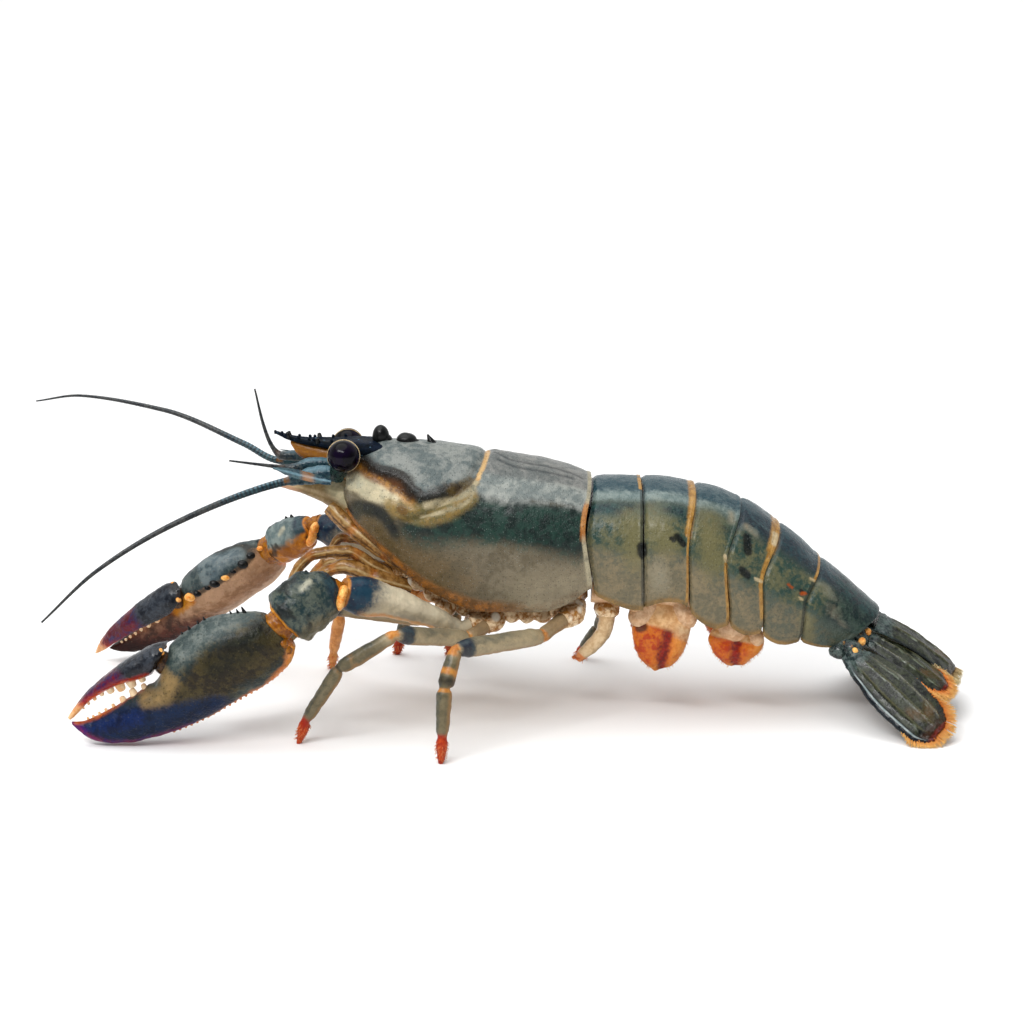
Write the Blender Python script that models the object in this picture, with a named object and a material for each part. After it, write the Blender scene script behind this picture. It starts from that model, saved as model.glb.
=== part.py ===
"""A whole freshwater crayfish at rest, one closed solid for each plate, limb and feeler.

The head points along -X, its left side along -Y, and the floor is z = 0. All sizes below are in
millimetres. Each table lists a few places along a piece, and the surface between them is smooth.
"""

import math

import bmesh
import bpy
from mathutils import Vector

MM = 0.001
GAP = 0.35              # clearance between two neighbouring plates
NEAR, FAR = -1.0, 1.0   # the side of the body: left is -Y, right is +Y
CENTRING = Vector((1.3, -0.5, 0.0))   # brings the middle of the whole onto the origin

# Carapace: place along X, back line, lower edge and half width
CARAPACE = (
    (-32.0, 52.4, 46.0, 5.6),
    (-31.2, 53.8, 44.6, 8.0),
    (-28.0, 57.4, 41.2, 10.6),
    (-23.0, 59.0, 36.6, 12.8),
    (-13.0, 58.5, 29.0, 15.2),
    (-2.0, 56.8, 25.4, 16.4),
    (9.0, 55.0, 25.4, 16.6),
    (15.5, 53.2, 27.4, 15.9),
    (19.8, 51.2, 30.4, 14.7),
)
EDGE_ANGLE = math.radians(118)   # how far round each flank reaches, from the back line
WAIST = 0.44                     # height of the widest place, as a part of the height
CARAPACE_RISE = 2.6              # how far the hollow underside lies above the lower edges
GROOVE_X = -2.0                  # where the neck groove crosses the back
GROOVE_SWEEP = 17.5              # how far forward the groove runs down each flank
GROOVE_DEPTH = 0.8
GROOVE_WIDTH = 1.0
REAR_BOW = 1.6                   # how far the rear rim bows forward on the flanks
BOW_SWEEP = 1.6                  # how low on the flank a bow is deepest

# Rostrum, the blade between the eyes: place along X, top, bottom and half width
ROSTRUM = (
    (-46.7, 60.9, 60.3, 0.3),
    (-44.0, 60.1, 59.0, 1.1),
    (-40.0, 59.5, 57.9, 2.0),
    (-34.0, 59.3, 56.8, 3.5),
    (-29.0, 59.5, 55.5, 4.9),
    (-22.0, 58.8, 54.0, 5.6),
)
# Spines: x, y, z of the foot, its radius, the height, the lean towards the head, and bluntness
SPINES = (
    (-24.3, 0.0, 58.6, 1.75, 3.4, 0.0, 0.4),
    (-18.9, 0.0, 58.4, 1.75, 2.3, -0.2, 0.45),
    (-13.6, 0.0, 58.1, 1.1, 2.4, 1.2, 0.12),
    (-43.6, 0.9, 59.5, 0.5, 2.0, 0.5, 0.2),
    (-43.6, -0.9, 59.5, 0.5, 2.0, 0.5, 0.2),
    (-37.4, 2.2, 58.6, 0.6, 2.1, 0.5, 0.2),
    (-37.4, -2.2, 58.6, 0.6, 2.1, 0.5, 0.2),
)

# Mouth parts in front of the carapace: place along X, top, bottom and half width
MOUTH = (
    (-45.6, 50.0, 48.7, 1.0),
    (-42.0, 50.9, 47.8, 2.8),
    (-37.5, 51.3, 46.0, 4.2),
    (-34.0, 51.2, 43.8, 5.2),
    (-32.4, 50.6, 42.2, 5.4),
)
# Breast plate, which carries the limbs: place along X, drop below the carapace edge, half width
BREAST = (
    (-31.6, 2.6, 4.6),
    (-24.0, 2.3, 6.6),
    (-12.0, 2.9, 8.4),
    (-1.0, 3.8, 9.4),
    (10.0, 4.3, 9.4),
    (17.0, 4.3, 8.6),
    (21.6, 3.4, 6.0),
)

# Abdomen: each joint between two rings, as top x and z, low x and z, half width and flank bow
JOINTS = (
    (20.1, 50.6, 20.1, 28.6, 14.2, 1.6),
    (30.4, 50.6, 30.7, 25.4, 14.7, 0.2),
    (41.8, 49.2, 39.9, 25.8, 14.6, 1.2),
    (51.4, 46.2, 48.4, 22.4, 14.1, 2.4),
    (59.8, 40.8, 55.4, 20.2, 13.3, 2.4),
    (68.6, 33.4, 63.6, 18.0, 12.0, 1.7),
    (81.6, 22.2, 72.4, 15.6, 8.6, 0.6),
)
JOINT_GAP = 0.02                # half the clearance at a joint, as a part of a ring's length
RING_RISE = 3.2                 # how far a ring's underside lies above its side lobes
RING_CROWN = 0.45               # how far a ring swells between its two joints
LOBE_DROP = (0.4, -1.6, 2.6, 1.4, 1.6, 0.6)  # how far each ring's side lobe hangs

# Tail leaves: half widths from foot to tip
LEAF_WIDTHS = ((0.0, 2.0), (0.22, 4.2), (0.55, 6.0), (0.85, 5.6), (0.96, 3.9), (1.0, 2.0))
TELSON_WIDTHS = ((0.0, 5.2), (0.25, 6.5), (0.6, 6.6), (0.85, 5.9), (0.96, 4.5), (1.0, 2.6))
LEAF_HALF_THICK = 0.62
LEAF_DOME = 0.9
# Each leaf: foot, tip, width direction, scale, and how far its two long edges droop
TELSON = ((81.0, 0.0, 20.1), (98.2, 0.0, 8.7), (0.0, 1.0, 0.0), 1.0, 1.5)
OUTER_LEAF = ((74.4, 9.6, 15.2), (91.4, 25.2, 2.5), (0.66, -0.54, 0.5), 0.96, 0.5)
INNER_LEAF = ((77.6, 4.4, 17.3), (94.8, 11.4, 7.6), (0.42, -0.86, 0.14), 0.8, 0.2)

# Eyes and feelers
EYE_CENTRE = (-31.8, 8.0, 57.1)
EYE_RADIUS = 3.35
STALK_FOOT = (-33.6, 6.6, 52.6)
STALK_RADIUS = 1.15
# Feelers: x, distance from the midline, z and radius
LONG_FEELER_NEAR = (
    (-35.0, 6.4, 53.2, 1.5),
    (-38.5, 6.3, 52.6, 1.9),
    (-41.6, 6.1, 51.9, 1.5),
    (-44.0, 6.1, 51.3, 0.85),
    (-51.4, 9.0, 49.7, 0.74),
    (-66.7, 15.0, 44.3, 0.6),
    (-82.2, 19.0, 35.4, 0.42),
    (-93.6, 21.0, 25.0, 0.2),
)
LONG_FEELER_FAR = (
    (-35.0, 6.4, 53.6, 1.5),
    (-38.5, 6.3, 53.4, 1.8),
    (-43.0, 6.1, 52.7, 1.4),
    (-46.8, 6.0, 53.1, 0.75),
    (-54.1, 9.0, 56.0, 0.66),
    (-72.1, 15.0, 62.2, 0.48),
    (-90.7, 21.0, 64.1, 0.3),
    (-101.1, 24.0, 62.3, 0.16),
)
SHORT_FEELER_NEAR = (
    (-34.6, 2.2, 54.4, 1.1),
    (-39.0, 2.4, 54.2, 1.35),
    (-43.6, 2.6, 53.4, 0.8),
    (-46.0, 3.2, 53.8, 0.45),
    (-55.9, 5.0, 55.5, 0.18),
)
SHORT_FEELER_FAR = (
    (-34.6, 2.2, 54.8, 1.1),
    (-40.0, 2.4, 54.9, 1.35),
    (-45.6, 2.8, 54.9, 0.9),
    (-47.4, 3.1, 56.4, 0.5),
    (-49.3, 3.5, 61.0, 0.36),
    (-51.1, 4.0, 69.0, 0.18),
)
SCALE_FOOT, SCALE_TIP, SCALE_HALF = (-35.6, 10.4, 52.0), (-46.4, 8.8, 54.8), 1.6

# Claws, in the claw's own frame: its length runs to the tip, its rise to the movable finger.
# Each row joins a place on the lower edge to one on the upper edge, with the half thickness there.
PALM_REACH = 47.6
PALM = (
    (-1.6, -5.2, 1.8, 4.2, 3.4),
    (0.6, -7.6, 6.4, 6.5, 4.8),
    (7.6, -9.9, 13.2, 7.6, 5.6),
    (16.5, -10.8, 20.5, 6.4, 5.4),
    (24.0, -11.3, 24.6, 3.4, 4.9),
    (30.0, -11.0, 29.0, 0.3, 4.2),
    (36.5, -9.8, 36.0, -0.7, 3.3),
    (43.0, -7.4, 43.0, -1.2, 2.2),
    (46.6, -3.6, 46.4, -0.7, 1.1),
    (47.6, -0.9, 47.6, -0.3, 0.3),
)
FINGER = (
    (21.8, 6.8, 25.8, 3.6, 2.8),
    (24.6, 7.6, 28.3, 2.0, 3.6),
    (28.8, 7.3, 31.2, 2.2, 3.4),
    (35.2, 6.2, 36.4, 3.0, 2.8),
    (41.2, 4.5, 41.6, 2.3, 2.0),
    (45.5, 2.4, 45.4, 1.0, 1.1),
    (47.8, 0.9, 47.6, 0.3, 0.3),
)
PALM_TEETH = (30.5, 33.5, 36.8, 40.2)
FINGER_TEETH = (32.0, 35.2, 38.4, 41.6)
TOOTH_HALF, TOOTH_HEIGHT = 0.85, 1.5
# Each claw: wrist, tip, direction of its rise, and how much its finger is stretched
CLAW_NEAR = ((-44.7, -24.6, 25.1), (-87.6, -25.4, 5.2), (-0.42, 0.0, 0.91), 1.0)
CLAW_FAR = ((-50.8, 25.8, 27.7), (-88.8, 31.4, 3.6), (-0.36, -0.75, 0.55), 1.12)
# Arm and wrist block: x, distance from the midline, z, half height and half width
ARM_NEAR = (
    (-7.0, 11.6, 20.9, 1.7, 1.7),
    (-12.0, 13.2, 23.4, 2.2, 2.1),
    (-21.0, 16.4, 27.7, 3.3, 2.9),
    (-28.0, 19.0, 30.1, 4.1, 3.5),
    (-31.2, 20.2, 31.0, 3.3, 2.9),
)
WRIST_NEAR = (
    (-32.4, 20.8, 31.6, 2.4, 2.2),
    (-34.8, 21.6, 31.0, 5.0, 4.4),
    (-38.8, 22.9, 29.6, 6.4, 5.4),
    (-42.2, 23.9, 27.2, 6.0, 5.0),
    (-43.5, 24.2, 26.1, 4.4, 3.8),
)
ARM_FAR = (
    (-9.5, 11.6, 21.8, 1.7, 1.7),
    (-14.0, 13.2, 24.4, 2.4, 2.2),
    (-26.0, 16.0, 30.2, 3.3, 2.9),
    (-35.5, 18.2, 34.2, 3.6, 3.3),
    (-39.2, 19.2, 35.2, 2.8, 2.6),
)
WRIST_FAR = (
    (-41.1, 19.9, 34.8, 2.1, 2.0),
    (-42.6, 20.6, 33.6, 3.7, 3.6),
    (-45.6, 22.2, 31.6, 4.6, 4.4),
    (-48.2, 23.8, 30.0, 4.4, 4.0),
    (-49.4, 24.5, 29.2, 3.2, 2.9),
)

# Walking legs, front to back: the joints from the body to the claw, x, distance from the midline, z
LEG_RADII = ((1.8, 1.5), (1.9, 2.0), (1.5, 1.7), (1.6, 1.3), (1.2, 0.7))
LEGS = (
    ("leg_left_1", NEAR, 0.85, (
        (-10.6, 8.6, 24.7), (-15.5, 9.2, 22.2), (-36.0, 11.5, 25.8), (-46.5, 12.6, 17.2),
        (-54.4, 13.2, 8.4), (-56.4, 13.3, 5.6))),
    ("leg_left_2", NEAR, 0.95, (
        (-0.6, 9.4, 22.4), (-6.0, 14.0, 19.5), (-20.6, 24.6, 23.4), (-32.2, 25.2, 16.4),
        (-39.4, 24.7, 4.9), (-40.9, 24.4, 0.0))),
    ("leg_left_3", NEAR, 1.0, (
        (16.2, 9.4, 24.0), (9.4, 15.4, 20.4), (-8.2, 30.0, 21.9), (-10.4, 33.6, 14.9),
        (-10.9, 36.2, 5.2), (-11.2, 36.8, 0.0))),
    ("leg_left_4", NEAR, 1.0, (
        (23.2, 8.0, 23.4), (23.2, 8.2, 21.8), (22.3, 8.0, 18.8), (20.2, 7.4, 16.0),
        (18.2, 6.8, 13.8), (17.3, 6.4, 12.6))),
    ("leg_right_1", FAR, 0.9, (
        (-12.4, 8.2, 23.0), (-17.0, 12.0, 20.8), (-31.6, 19.8, 25.2), (-35.2, 22.4, 14.0),
        (-37.1, 25.9, 4.0), (-37.5, 26.5, 0.0))),
    ("leg_right_2", FAR, 0.95, (
        (-0.6, 9.4, 22.4), (-5.0, 15.4, 20.6), (-15.0, 29.0, 23.0), (-20.4, 35.0, 11.4),
        (-22.8, 37.4, 3.2), (-23.2, 37.8, 0.0))),
    ("leg_right_3", FAR, 0.95, (
        (16.2, 9.4, 24.0), (9.6, 15.4, 20.4), (-5.6, 28.6, 21.8), (-9.6, 33.6, 11.4),
        (-11.0, 36.4, 3.2), (-11.2, 36.9, 0.0))),
    ("leg_right_4", FAR, 0.85, (
        (23.2, 8.2, 22.4), (24.2, 13.2, 20.6), (25.4, 24.4, 17.4), (22.8, 31.4, 8.2),
        (19.2, 34.3, 2.6), (18.1, 34.9, 0.0))),
)

# Mouth limbs that arch under the head: x, distance from the midline, z and radius
MOUTH_LIMB_NEAR = (
    (-20.4, 6.2, 28.4, 1.1),
    (-25.8, 6.8, 33.2, 1.4),
    (-31.9, 7.2, 36.7, 1.25),
    (-38.1, 7.8, 36.0, 1.2),
    (-41.9, 7.8, 32.6, 1.1),
    (-43.8, 7.4, 28.4, 0.7),
)
MOUTH_LIMB_FAR = (
    (-21.8, 4.0, 27.2, 1.1),
    (-28.4, 4.4, 30.6, 1.5),
    (-34.8, 4.6, 31.4, 1.6),
    (-38.8, 4.6, 28.4, 1.5),
    (-40.9, 4.4, 23.6, 0.8),
)

# Swimmerets under the abdomen: height, x, half length and half thickness
SWIMMERET_FRONT = (
    (27.0, 35.0, 3.8, 1.2),
    (23.6, 34.9, 5.6, 2.2),
    (20.6, 34.7, 6.1, 2.9),
    (17.2, 34.6, 5.8, 3.2),
    (13.2, 34.4, 3.9, 2.5),
    (10.6, 34.4, 1.2, 0.9),
)
SWIMMERET_REAR = (
    (21.8, 50.4, 3.0, 1.0),
    (19.6, 50.5, 5.0, 1.9),
    (17.6, 50.6, 5.9, 2.5),
    (15.2, 50.7, 5.2, 2.9),
    (12.9, 50.5, 3.0, 2.1),
    (11.4, 50.4, 1.0, 0.8),
)
SWIMMERET_Y = 8.2

# How finely the solids are faceted
ARCH_POINTS, UNDER_POINTS = 19, 5
TUBE_SIDES, LIMB_SIDES = 6, 8
CLAW_SIDES = 14


def clear_scene():
    for item in list(bpy.data.objects):
        bpy.data.objects.remove(item, do_unlink=True)


def shell_material(name, colour, roughness):
    material = bpy.data.materials.new(name)
    material.use_nodes = True
    shader = material.node_tree.nodes["Principled BSDF"]
    shader.inputs["Base Color"].default_value = (*colour, 1.0)
    shader.inputs["Roughness"].default_value = roughness
    shader.inputs["Metallic"].default_value = 0.0
    return material


def follow(table, place):
    """The values of a table at one place in its first column, smooth and without overshoot."""
    if place <= table[0][0]:
        return table[0][1:]
    if place >= table[-1][0]:
        return table[-1][1:]
    at = max(k for k, row in enumerate(table) if row[0] <= place)
    left, right = table[at], table[at + 1]
    span = right[0] - left[0]
    t = (place - left[0]) / span
    values = []
    for column in range(1, len(left)):
        start = slope(table, at, column) * span
        end = slope(table, at + 1, column) * span
        low, high = left[column], right[column]
        values.append((2 * t**3 - 3 * t**2 + 1) * low + (t**3 - 2 * t**2 + t) * start
                      + (3 * t**2 - 2 * t**3) * high + (t**3 - t**2) * end)
    return values


def slope(table, at, column):
    """A slope at one row that turns to zero where the column turns round."""
    rises = []
    for first, last in ((at - 1, at), (at, at + 1)):
        if first >= 0 and last < len(table):
            run = table[last][0] - table[first][0]
            rises.append((table[last][column] - table[first][column]) / run)
    if len(rises) == 1:
        return rises[0]
    if rises[0] * rises[1] <= 0:
        return 0.0
    return 2 * rises[0] * rises[1] / (rises[0] + rises[1])


def numbered(rows):
    """A path's rows with their distance along the path put in front."""
    table = []
    reach = 0.0
    for k, row in enumerate(rows):
        if k:
            reach += (Vector(row[:3]) - Vector(rows[k - 1][:3])).length
        table.append((reach, *row))
    return table


def steps(start, end, count):
    return [start + (end - start) * k / (count - 1) for k in range(count)]


def solid(name, rings, material):
    """A closed mesh through rings of points, each end closed round its middle point."""
    mesh = bmesh.new()
    loops = [[mesh.verts.new((Vector(point) + CENTRING) * MM) for point in ring]
             for ring in rings]
    sides = len(rings[0])
    for first, second in zip(loops, loops[1:]):
        for k in range(sides):
            after = (k + 1) % sides
            mesh.faces.new((first[k], first[after], second[after], second[k]))
    for loop in (loops[0], loops[-1]):
        middle = sum((vert.co for vert in loop), Vector()) / sides
        centre = mesh.verts.new(middle)
        for k in range(sides):
            mesh.faces.new((loop[k], loop[(k + 1) % sides], centre))
    bmesh.ops.recalc_face_normals(mesh, faces=mesh.faces)
    return finish(name, mesh, material)


def finish(name, mesh, material):
    data = bpy.data.meshes.new(name)
    mesh.to_mesh(data)
    mesh.free()
    data.materials.append(material)
    data.shade_smooth()
    item = bpy.data.objects.new(name, data)
    bpy.context.collection.objects.link(item)
    return item


def fuse(item, pieces):
    """Joins pieces to an item by one Boolean union, applied."""
    group = bpy.data.collections.new(item.name + "_pieces")
    bpy.context.scene.collection.children.link(group)
    for piece in pieces:
        group.objects.link(piece)
    union = item.modifiers.new("union", "BOOLEAN")
    union.operation = "UNION"
    union.operand_type = "COLLECTION"
    union.collection = group
    union.solver = "EXACT"
    bpy.context.view_layer.update()
    bpy.context.view_layer.objects.active = item
    with bpy.context.temp_override(object=item, active_object=item):
        bpy.ops.object.modifier_apply(modifier=union.name)
    for piece in pieces:
        bpy.data.objects.remove(piece, do_unlink=True)
    bpy.data.collections.remove(group)
    return item


def cone(name, foot, direction, radius, height, sides, material, blunt=0.15):
    """A spine or a tooth: a cone whose tip is a blunt part of its foot's width."""
    foot, direction = Vector(foot), Vector(direction).normalized()
    across = direction.orthogonal().normalized()
    over = direction.cross(across)
    rings = []
    for part, width in ((0.0, 1.0), (0.55, 0.58 + blunt * 0.5), (1.0, blunt)):
        centre = foot + direction * height * part
        rings.append([centre + (across * math.cos(angle) + over * math.sin(angle)) * radius * width
                      for angle in (math.tau * k / sides for k in range(sides))])
    return solid(name, rings, material)


def arch(top, low, half, rise):
    """One body section as pairs of y and z: over the back from edge to edge, then underneath."""
    waist = low + (top - low) * WAIST
    section = []
    for angle in steps(-EDGE_ANGLE, EDGE_ANGLE, ARCH_POINTS):
        lift = math.cos(angle)
        if lift >= 0:
            height = waist + (top - waist) * lift
        else:
            height = waist - (waist - low) * lift / math.cos(EDGE_ANGLE)
        section.append((half * math.sin(angle), height))
    inner = half * math.sin(EDGE_ANGLE)
    for part in steps(0.78, -0.78, UNDER_POINTS):
        section.append((inner * part, low + rise * (0.75 if abs(part) > 0.6 else 1.0)))
    return section


def arch_angles():
    """The angle round the body of each point of a section, the lower edge's for the underside."""
    return steps(-EDGE_ANGLE, EDGE_ANGLE, ARCH_POINTS) + [EDGE_ANGLE] * UNDER_POINTS


def flank_bow(angle):
    """How far a rim bows forward at an angle round the body, nothing at the back and the edge."""
    return math.sin(math.pi * (abs(angle) / EDGE_ANGLE) ** BOW_SWEEP) ** 2


def groove_lean(x):
    """How much a carapace section at x leans with the neck groove: fully at the groove."""
    first, last = CARAPACE[0][0], CARAPACE[-1][0]
    reach = (x - first) / (GROOVE_X - first) if x < GROOVE_X else (last - x) / (last - GROOVE_X)
    return math.sin(reach * math.pi / 2) ** 1.5 if reach > 0 else 0.0


def carapace_ring(x):
    ring = []
    lean = groove_lean(x) * GROOVE_SWEEP
    rear = max(0.0, (x - GROOVE_X) / (CARAPACE[-1][0] - GROOVE_X))
    furrow = GROOVE_DEPTH * math.exp(-(((x - GROOVE_X) / GROOVE_WIDTH) ** 2))
    for k, angle in enumerate(arch_angles()):
        round_flank = min(1.0, abs(angle) / (math.pi / 2))
        place = x - lean * round_flank**2 - REAR_BOW * rear**3 * flank_bow(angle)
        top, low, half = follow(CARAPACE, place)
        depth = furrow if abs(angle) < EDGE_ANGLE * 0.8 else 0.0
        y, z = arch(top - depth, low, half - depth, CARAPACE_RISE)[k]
        ring.append((place, y, z))
    return ring


def slab_ring(x, top, low, half, sides, power=1.0):
    """A rounded section across the body between a top and a low line."""
    middle, height = (top + low) / 2, (top - low) / 2
    ring = []
    for k in range(sides):
        angle = math.tau * k / sides
        across, up = math.sin(angle), math.cos(angle)
        ring.append((x, half * math.copysign(abs(across) ** power, across),
                     middle + height * math.copysign(abs(up) ** power, up)))
    return ring


def make_carapace(material):
    places = (steps(-32.0, -29.0, 4) + steps(-26.5, -4.5, 9) + [-3.1, -2.0, -0.9]
              + steps(1.0, 19.8, 8))
    shield = solid("carapace", [carapace_ring(x) for x in places], material)
    blade = [slab_ring(x, *follow(ROSTRUM, x), 10) for x in steps(-46.7, -22.0, 10)]
    pieces = [solid("rostrum", blade, material)]
    for x, y, z, radius, height, lean, blunt in SPINES:
        sides = 10 if radius > 0.8 else 6
        direction = (-lean, 0.0, height)
        pieces.append(cone("spine", (x, y, z), direction, radius, height, sides, material, blunt))
    return fuse(shield, pieces)


def make_mouth(material):
    rings = [slab_ring(x, *follow(MOUTH, x), 12, 0.85) for x in steps(-45.6, -32.4, 8)]
    return solid("mouth", rings, material)


def breast_section(x):
    drop, half = follow(BREAST, x)
    low = follow(CARAPACE, x)[1]
    top = low + CARAPACE_RISE * 0.75 - GAP
    inner = half * 0.62
    foot = low - drop
    return [(x, y, z) for y, z in (
        (-half * 0.8, top), (0.0, top), (half * 0.8, top), (half, (top + low) / 2),
        (half * 0.95, low - drop * 0.35), (inner, foot), (0.0, foot - 0.4), (-inner, foot),
        (-half * 0.95, low - drop * 0.35), (-half, (top + low) / 2))]


def make_breast(material):
    return solid("breast", [breast_section(x) for x in steps(-31.6, 19.2, 14)], material)


def ring_section(place):
    """A section of the abdomen, place counted in rings from the front."""
    table = [(k, *row) for k, row in enumerate(JOINTS)]
    top_x, top_z, low_x, low_z, half, bow = follow(table, place)
    number = min(len(JOINTS) - 2, int(place))
    part = place - number
    swell = math.sin(math.pi * part) ** 0.7 if 0 < part < 1 else 0.0
    down = Vector((low_x - top_x, 0.0, low_z - top_z))
    length = down.length + LOBE_DROP[number] * swell
    down.normalize()
    crown = RING_CROWN * swell
    section = []
    for (y, height), angle in zip(arch(length + crown, 0.0, half + crown, RING_RISE), arch_angles()):
        point = Vector((top_x, 0.0, top_z)) + down * (length - height)
        section.append((point.x - bow * flank_bow(angle), y, point.z))
    return section


def make_abdomen(material):
    for number in range(len(JOINTS) - 1):
        parts = (JOINT_GAP, 0.12, 0.5, 0.86, 1 - JOINT_GAP)
        rings = [ring_section(number + part) for part in parts]
        solid(f"abdomen_{number + 1}", rings, material)


def make_leaf(name, leaf, widths, side, ribs, material):
    """A tail leaf: a thin plate, widest past its middle, that is domed along its length."""
    foot, tip, width, scale, droop = leaf
    foot, tip, width = Vector(foot), Vector(tip), Vector(width).normalized()
    for vector in (foot, tip, width):
        vector.y *= side
    run = tip - foot
    normal = run.cross(width).normalized()
    if normal.z < 0:
        normal.negate()
    rings = []
    for part in (0.0, 0.1, 0.28, 0.5, 0.72, 0.88, 0.96, 1.0):
        half = follow(widths, part)[0] * scale
        thick = LEAF_HALF_THICK * (1.25 - 0.5 * part)
        centre = foot + run * part + normal * LEAF_DOME * math.sin(math.pi * part)
        ring = []
        for k in range(12):
            angle = math.tau * k / 12
            across = math.cos(angle)
            ridge = ribs * (1 - across * across) ** 3
            lift = thick * math.sin(angle) * (1 + ridge) - droop * across * across
            ring.append(centre + width * half * across + normal * lift)
        rings.append(ring)
    return solid(name, rings, material)


def path_rings(rows, places, sides):
    """Rings of a round or oval limb along a path, the last two numbers of a row its half sizes."""
    table = numbered(rows)
    oval = len(rows[0]) == 5
    rings = []
    for place in places:
        values = follow(table, place)
        before = Vector(follow(table, place - 0.3)[:3])
        after = Vector(follow(table, place + 0.3)[:3])
        along = (after - before).normalized()
        sideways = Vector((0.0, 1.0, 0.0))
        sideways = (sideways - along * along.y).normalized()
        upward = sideways.cross(along)
        tall = values[3]
        wide = values[4] if oval else tall
        centre = Vector(values[:3])
        rings.append([centre + upward * tall * math.cos(math.tau * k / sides)
                      + sideways * wide * math.sin(math.tau * k / sides) for k in range(sides)])
    return rings


def sided(rows, side):
    return [(row[0], row[1] * side, *row[2:]) for row in rows]


def make_tube(name, rows, side, count, sides, material):
    """A feeler, arm or mouth limb with evenly spaced rings."""
    rows = sided(rows, side)
    reach = numbered(rows)[-1][0]
    return solid(name, path_rings(rows, steps(0.0, reach, count), sides), material)


def make_feeler(name, rows, side, count, material):
    """A feeler whose rings lie closer together on its thick stem."""
    rows = sided(rows, side)
    reach = numbered(rows)[-1][0]
    places = [reach * part**1.6 for part in steps(0.0, 1.0, count)]
    return solid(name, path_rings(rows, places, TUBE_SIDES), material)


def leg_rows(joints, scale):
    """Rows of a leg: each link is thin at its joints and has its own two radii between them."""
    rows = []
    links = list(zip(joints, joints[1:], LEG_RADII))
    for number, (start, end, radii) in enumerate(links):
        start, end = Vector(start), Vector(end)
        last = number == len(links) - 1
        for part, radius in ((0.0, radii[0] * 0.82), (0.16, radii[0]), (0.84, radii[1])):
            rows.append((*start.lerp(end, part), radius * scale))
        if last:
            rows.append((*end, radii[1] * 0.7 * scale))
    return rows


def make_leg(name, side, scale, joints, material):
    rows = sided(leg_rows(joints, scale), side)
    lowest = min(row[2] for row in rows)
    places = [row[0] for row in numbered(rows)]
    rings = path_rings(rows, places, LIMB_SIDES)
    if lowest == 0.0:
        rings[-1] = [Vector((point.x, point.y, 0.0)) for point in rings[-1]]
    return solid(name, rings, material)


def claw_frame(claw, side):
    """The claw's wrist, length, rise and thickness directions, and its scale."""
    wrist, tip, rise, _ = claw
    wrist, length = Vector(wrist), Vector(tip) - Vector(wrist)
    scale = length.length / PALM_REACH
    length.normalize()
    rise = Vector(rise)
    rise = (rise - length * rise.dot(length)).normalized()
    thick = length.cross(rise) * side
    return wrist, length * scale, rise * scale, thick * scale


def claw_rings(rows, frame, count, stretch=1.0):
    """Rings between a lower and an upper edge, with a fuller back than belly."""
    wrist, length, rise, thick = frame
    hinge = rows[0][0]
    table = [(k, *row) for k, row in enumerate(rows)]
    rings = []
    for place in steps(0.0, len(rows) - 1.0, count):
        low_x, low_z, up_x, up_z, half = follow(table, place)
        low = Vector((hinge + (low_x - hinge) * stretch, 0.0, low_z))
        up = Vector((hinge + (up_x - hinge) * stretch, 0.0, up_z))
        ring = []
        for k in range(CLAW_SIDES):
            angle = math.tau * k / CLAW_SIDES
            middle = (low + up) / 2 + (up - low) / 2 * math.cos(angle)
            depth = half * math.sin(angle) * (1.06 if math.sin(angle) > 0 else 0.94)
            ring.append(wrist + length * middle.x + rise * middle.z + thick * depth)
        rings.append(ring)
    return rings


def edge_teeth(name, rows, frame, places, upward, columns, material, stretch=1.0):
    """Blunt teeth along one edge of a finger."""
    wrist, length, rise, _ = frame
    table = [(row[columns[0]], row[columns[1]]) for row in rows]
    hinge = rows[0][0]
    teeth = []
    for place in places:
        height = follow(table, place)[0]
        x = hinge + (place - hinge) * stretch
        foot = wrist + length * x + rise * (height - upward * 0.8)
        size = 1.0 - 0.5 * (place - places[0]) / (places[-1] - places[0])
        teeth.append(cone(name, foot, rise * upward, TOOTH_HALF * size,
                          0.8 + TOOTH_HEIGHT * size, 6, material))
    return teeth


def make_claw(name, claw, side, material):
    frame = claw_frame(claw, side)
    palm_steps = 2 * len(PALM) - 1
    palm = solid("palm_" + name, claw_rings(PALM, frame, palm_steps), material)
    fuse(palm, edge_teeth("tooth", PALM, frame, PALM_TEETH, 1.0, (2, 3), material))
    stretch = claw[3]
    finger_steps = 2 * len(FINGER) - 1
    finger = solid("finger_" + name, claw_rings(FINGER, frame, finger_steps, stretch), material)
    fuse(finger, edge_teeth("tooth", FINGER, frame, FINGER_TEETH, -1.0, (2, 3), material, stretch))


def make_eye(name, side, material):
    mesh = bmesh.new()
    bmesh.ops.create_uvsphere(mesh, u_segments=14, v_segments=9, radius=EYE_RADIUS * MM)
    centre = Vector(EYE_CENTRE)
    centre.y *= side
    bmesh.ops.translate(mesh, verts=mesh.verts, vec=(centre + CENTRING) * MM)
    eye = finish(name, mesh, material)
    foot = Vector(STALK_FOOT)
    foot.y *= side
    run = centre - foot
    stalk = cone("stalk", foot, run, STALK_RADIUS, run.length * 0.9, 8, material)
    return fuse(eye, [stalk])


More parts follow.
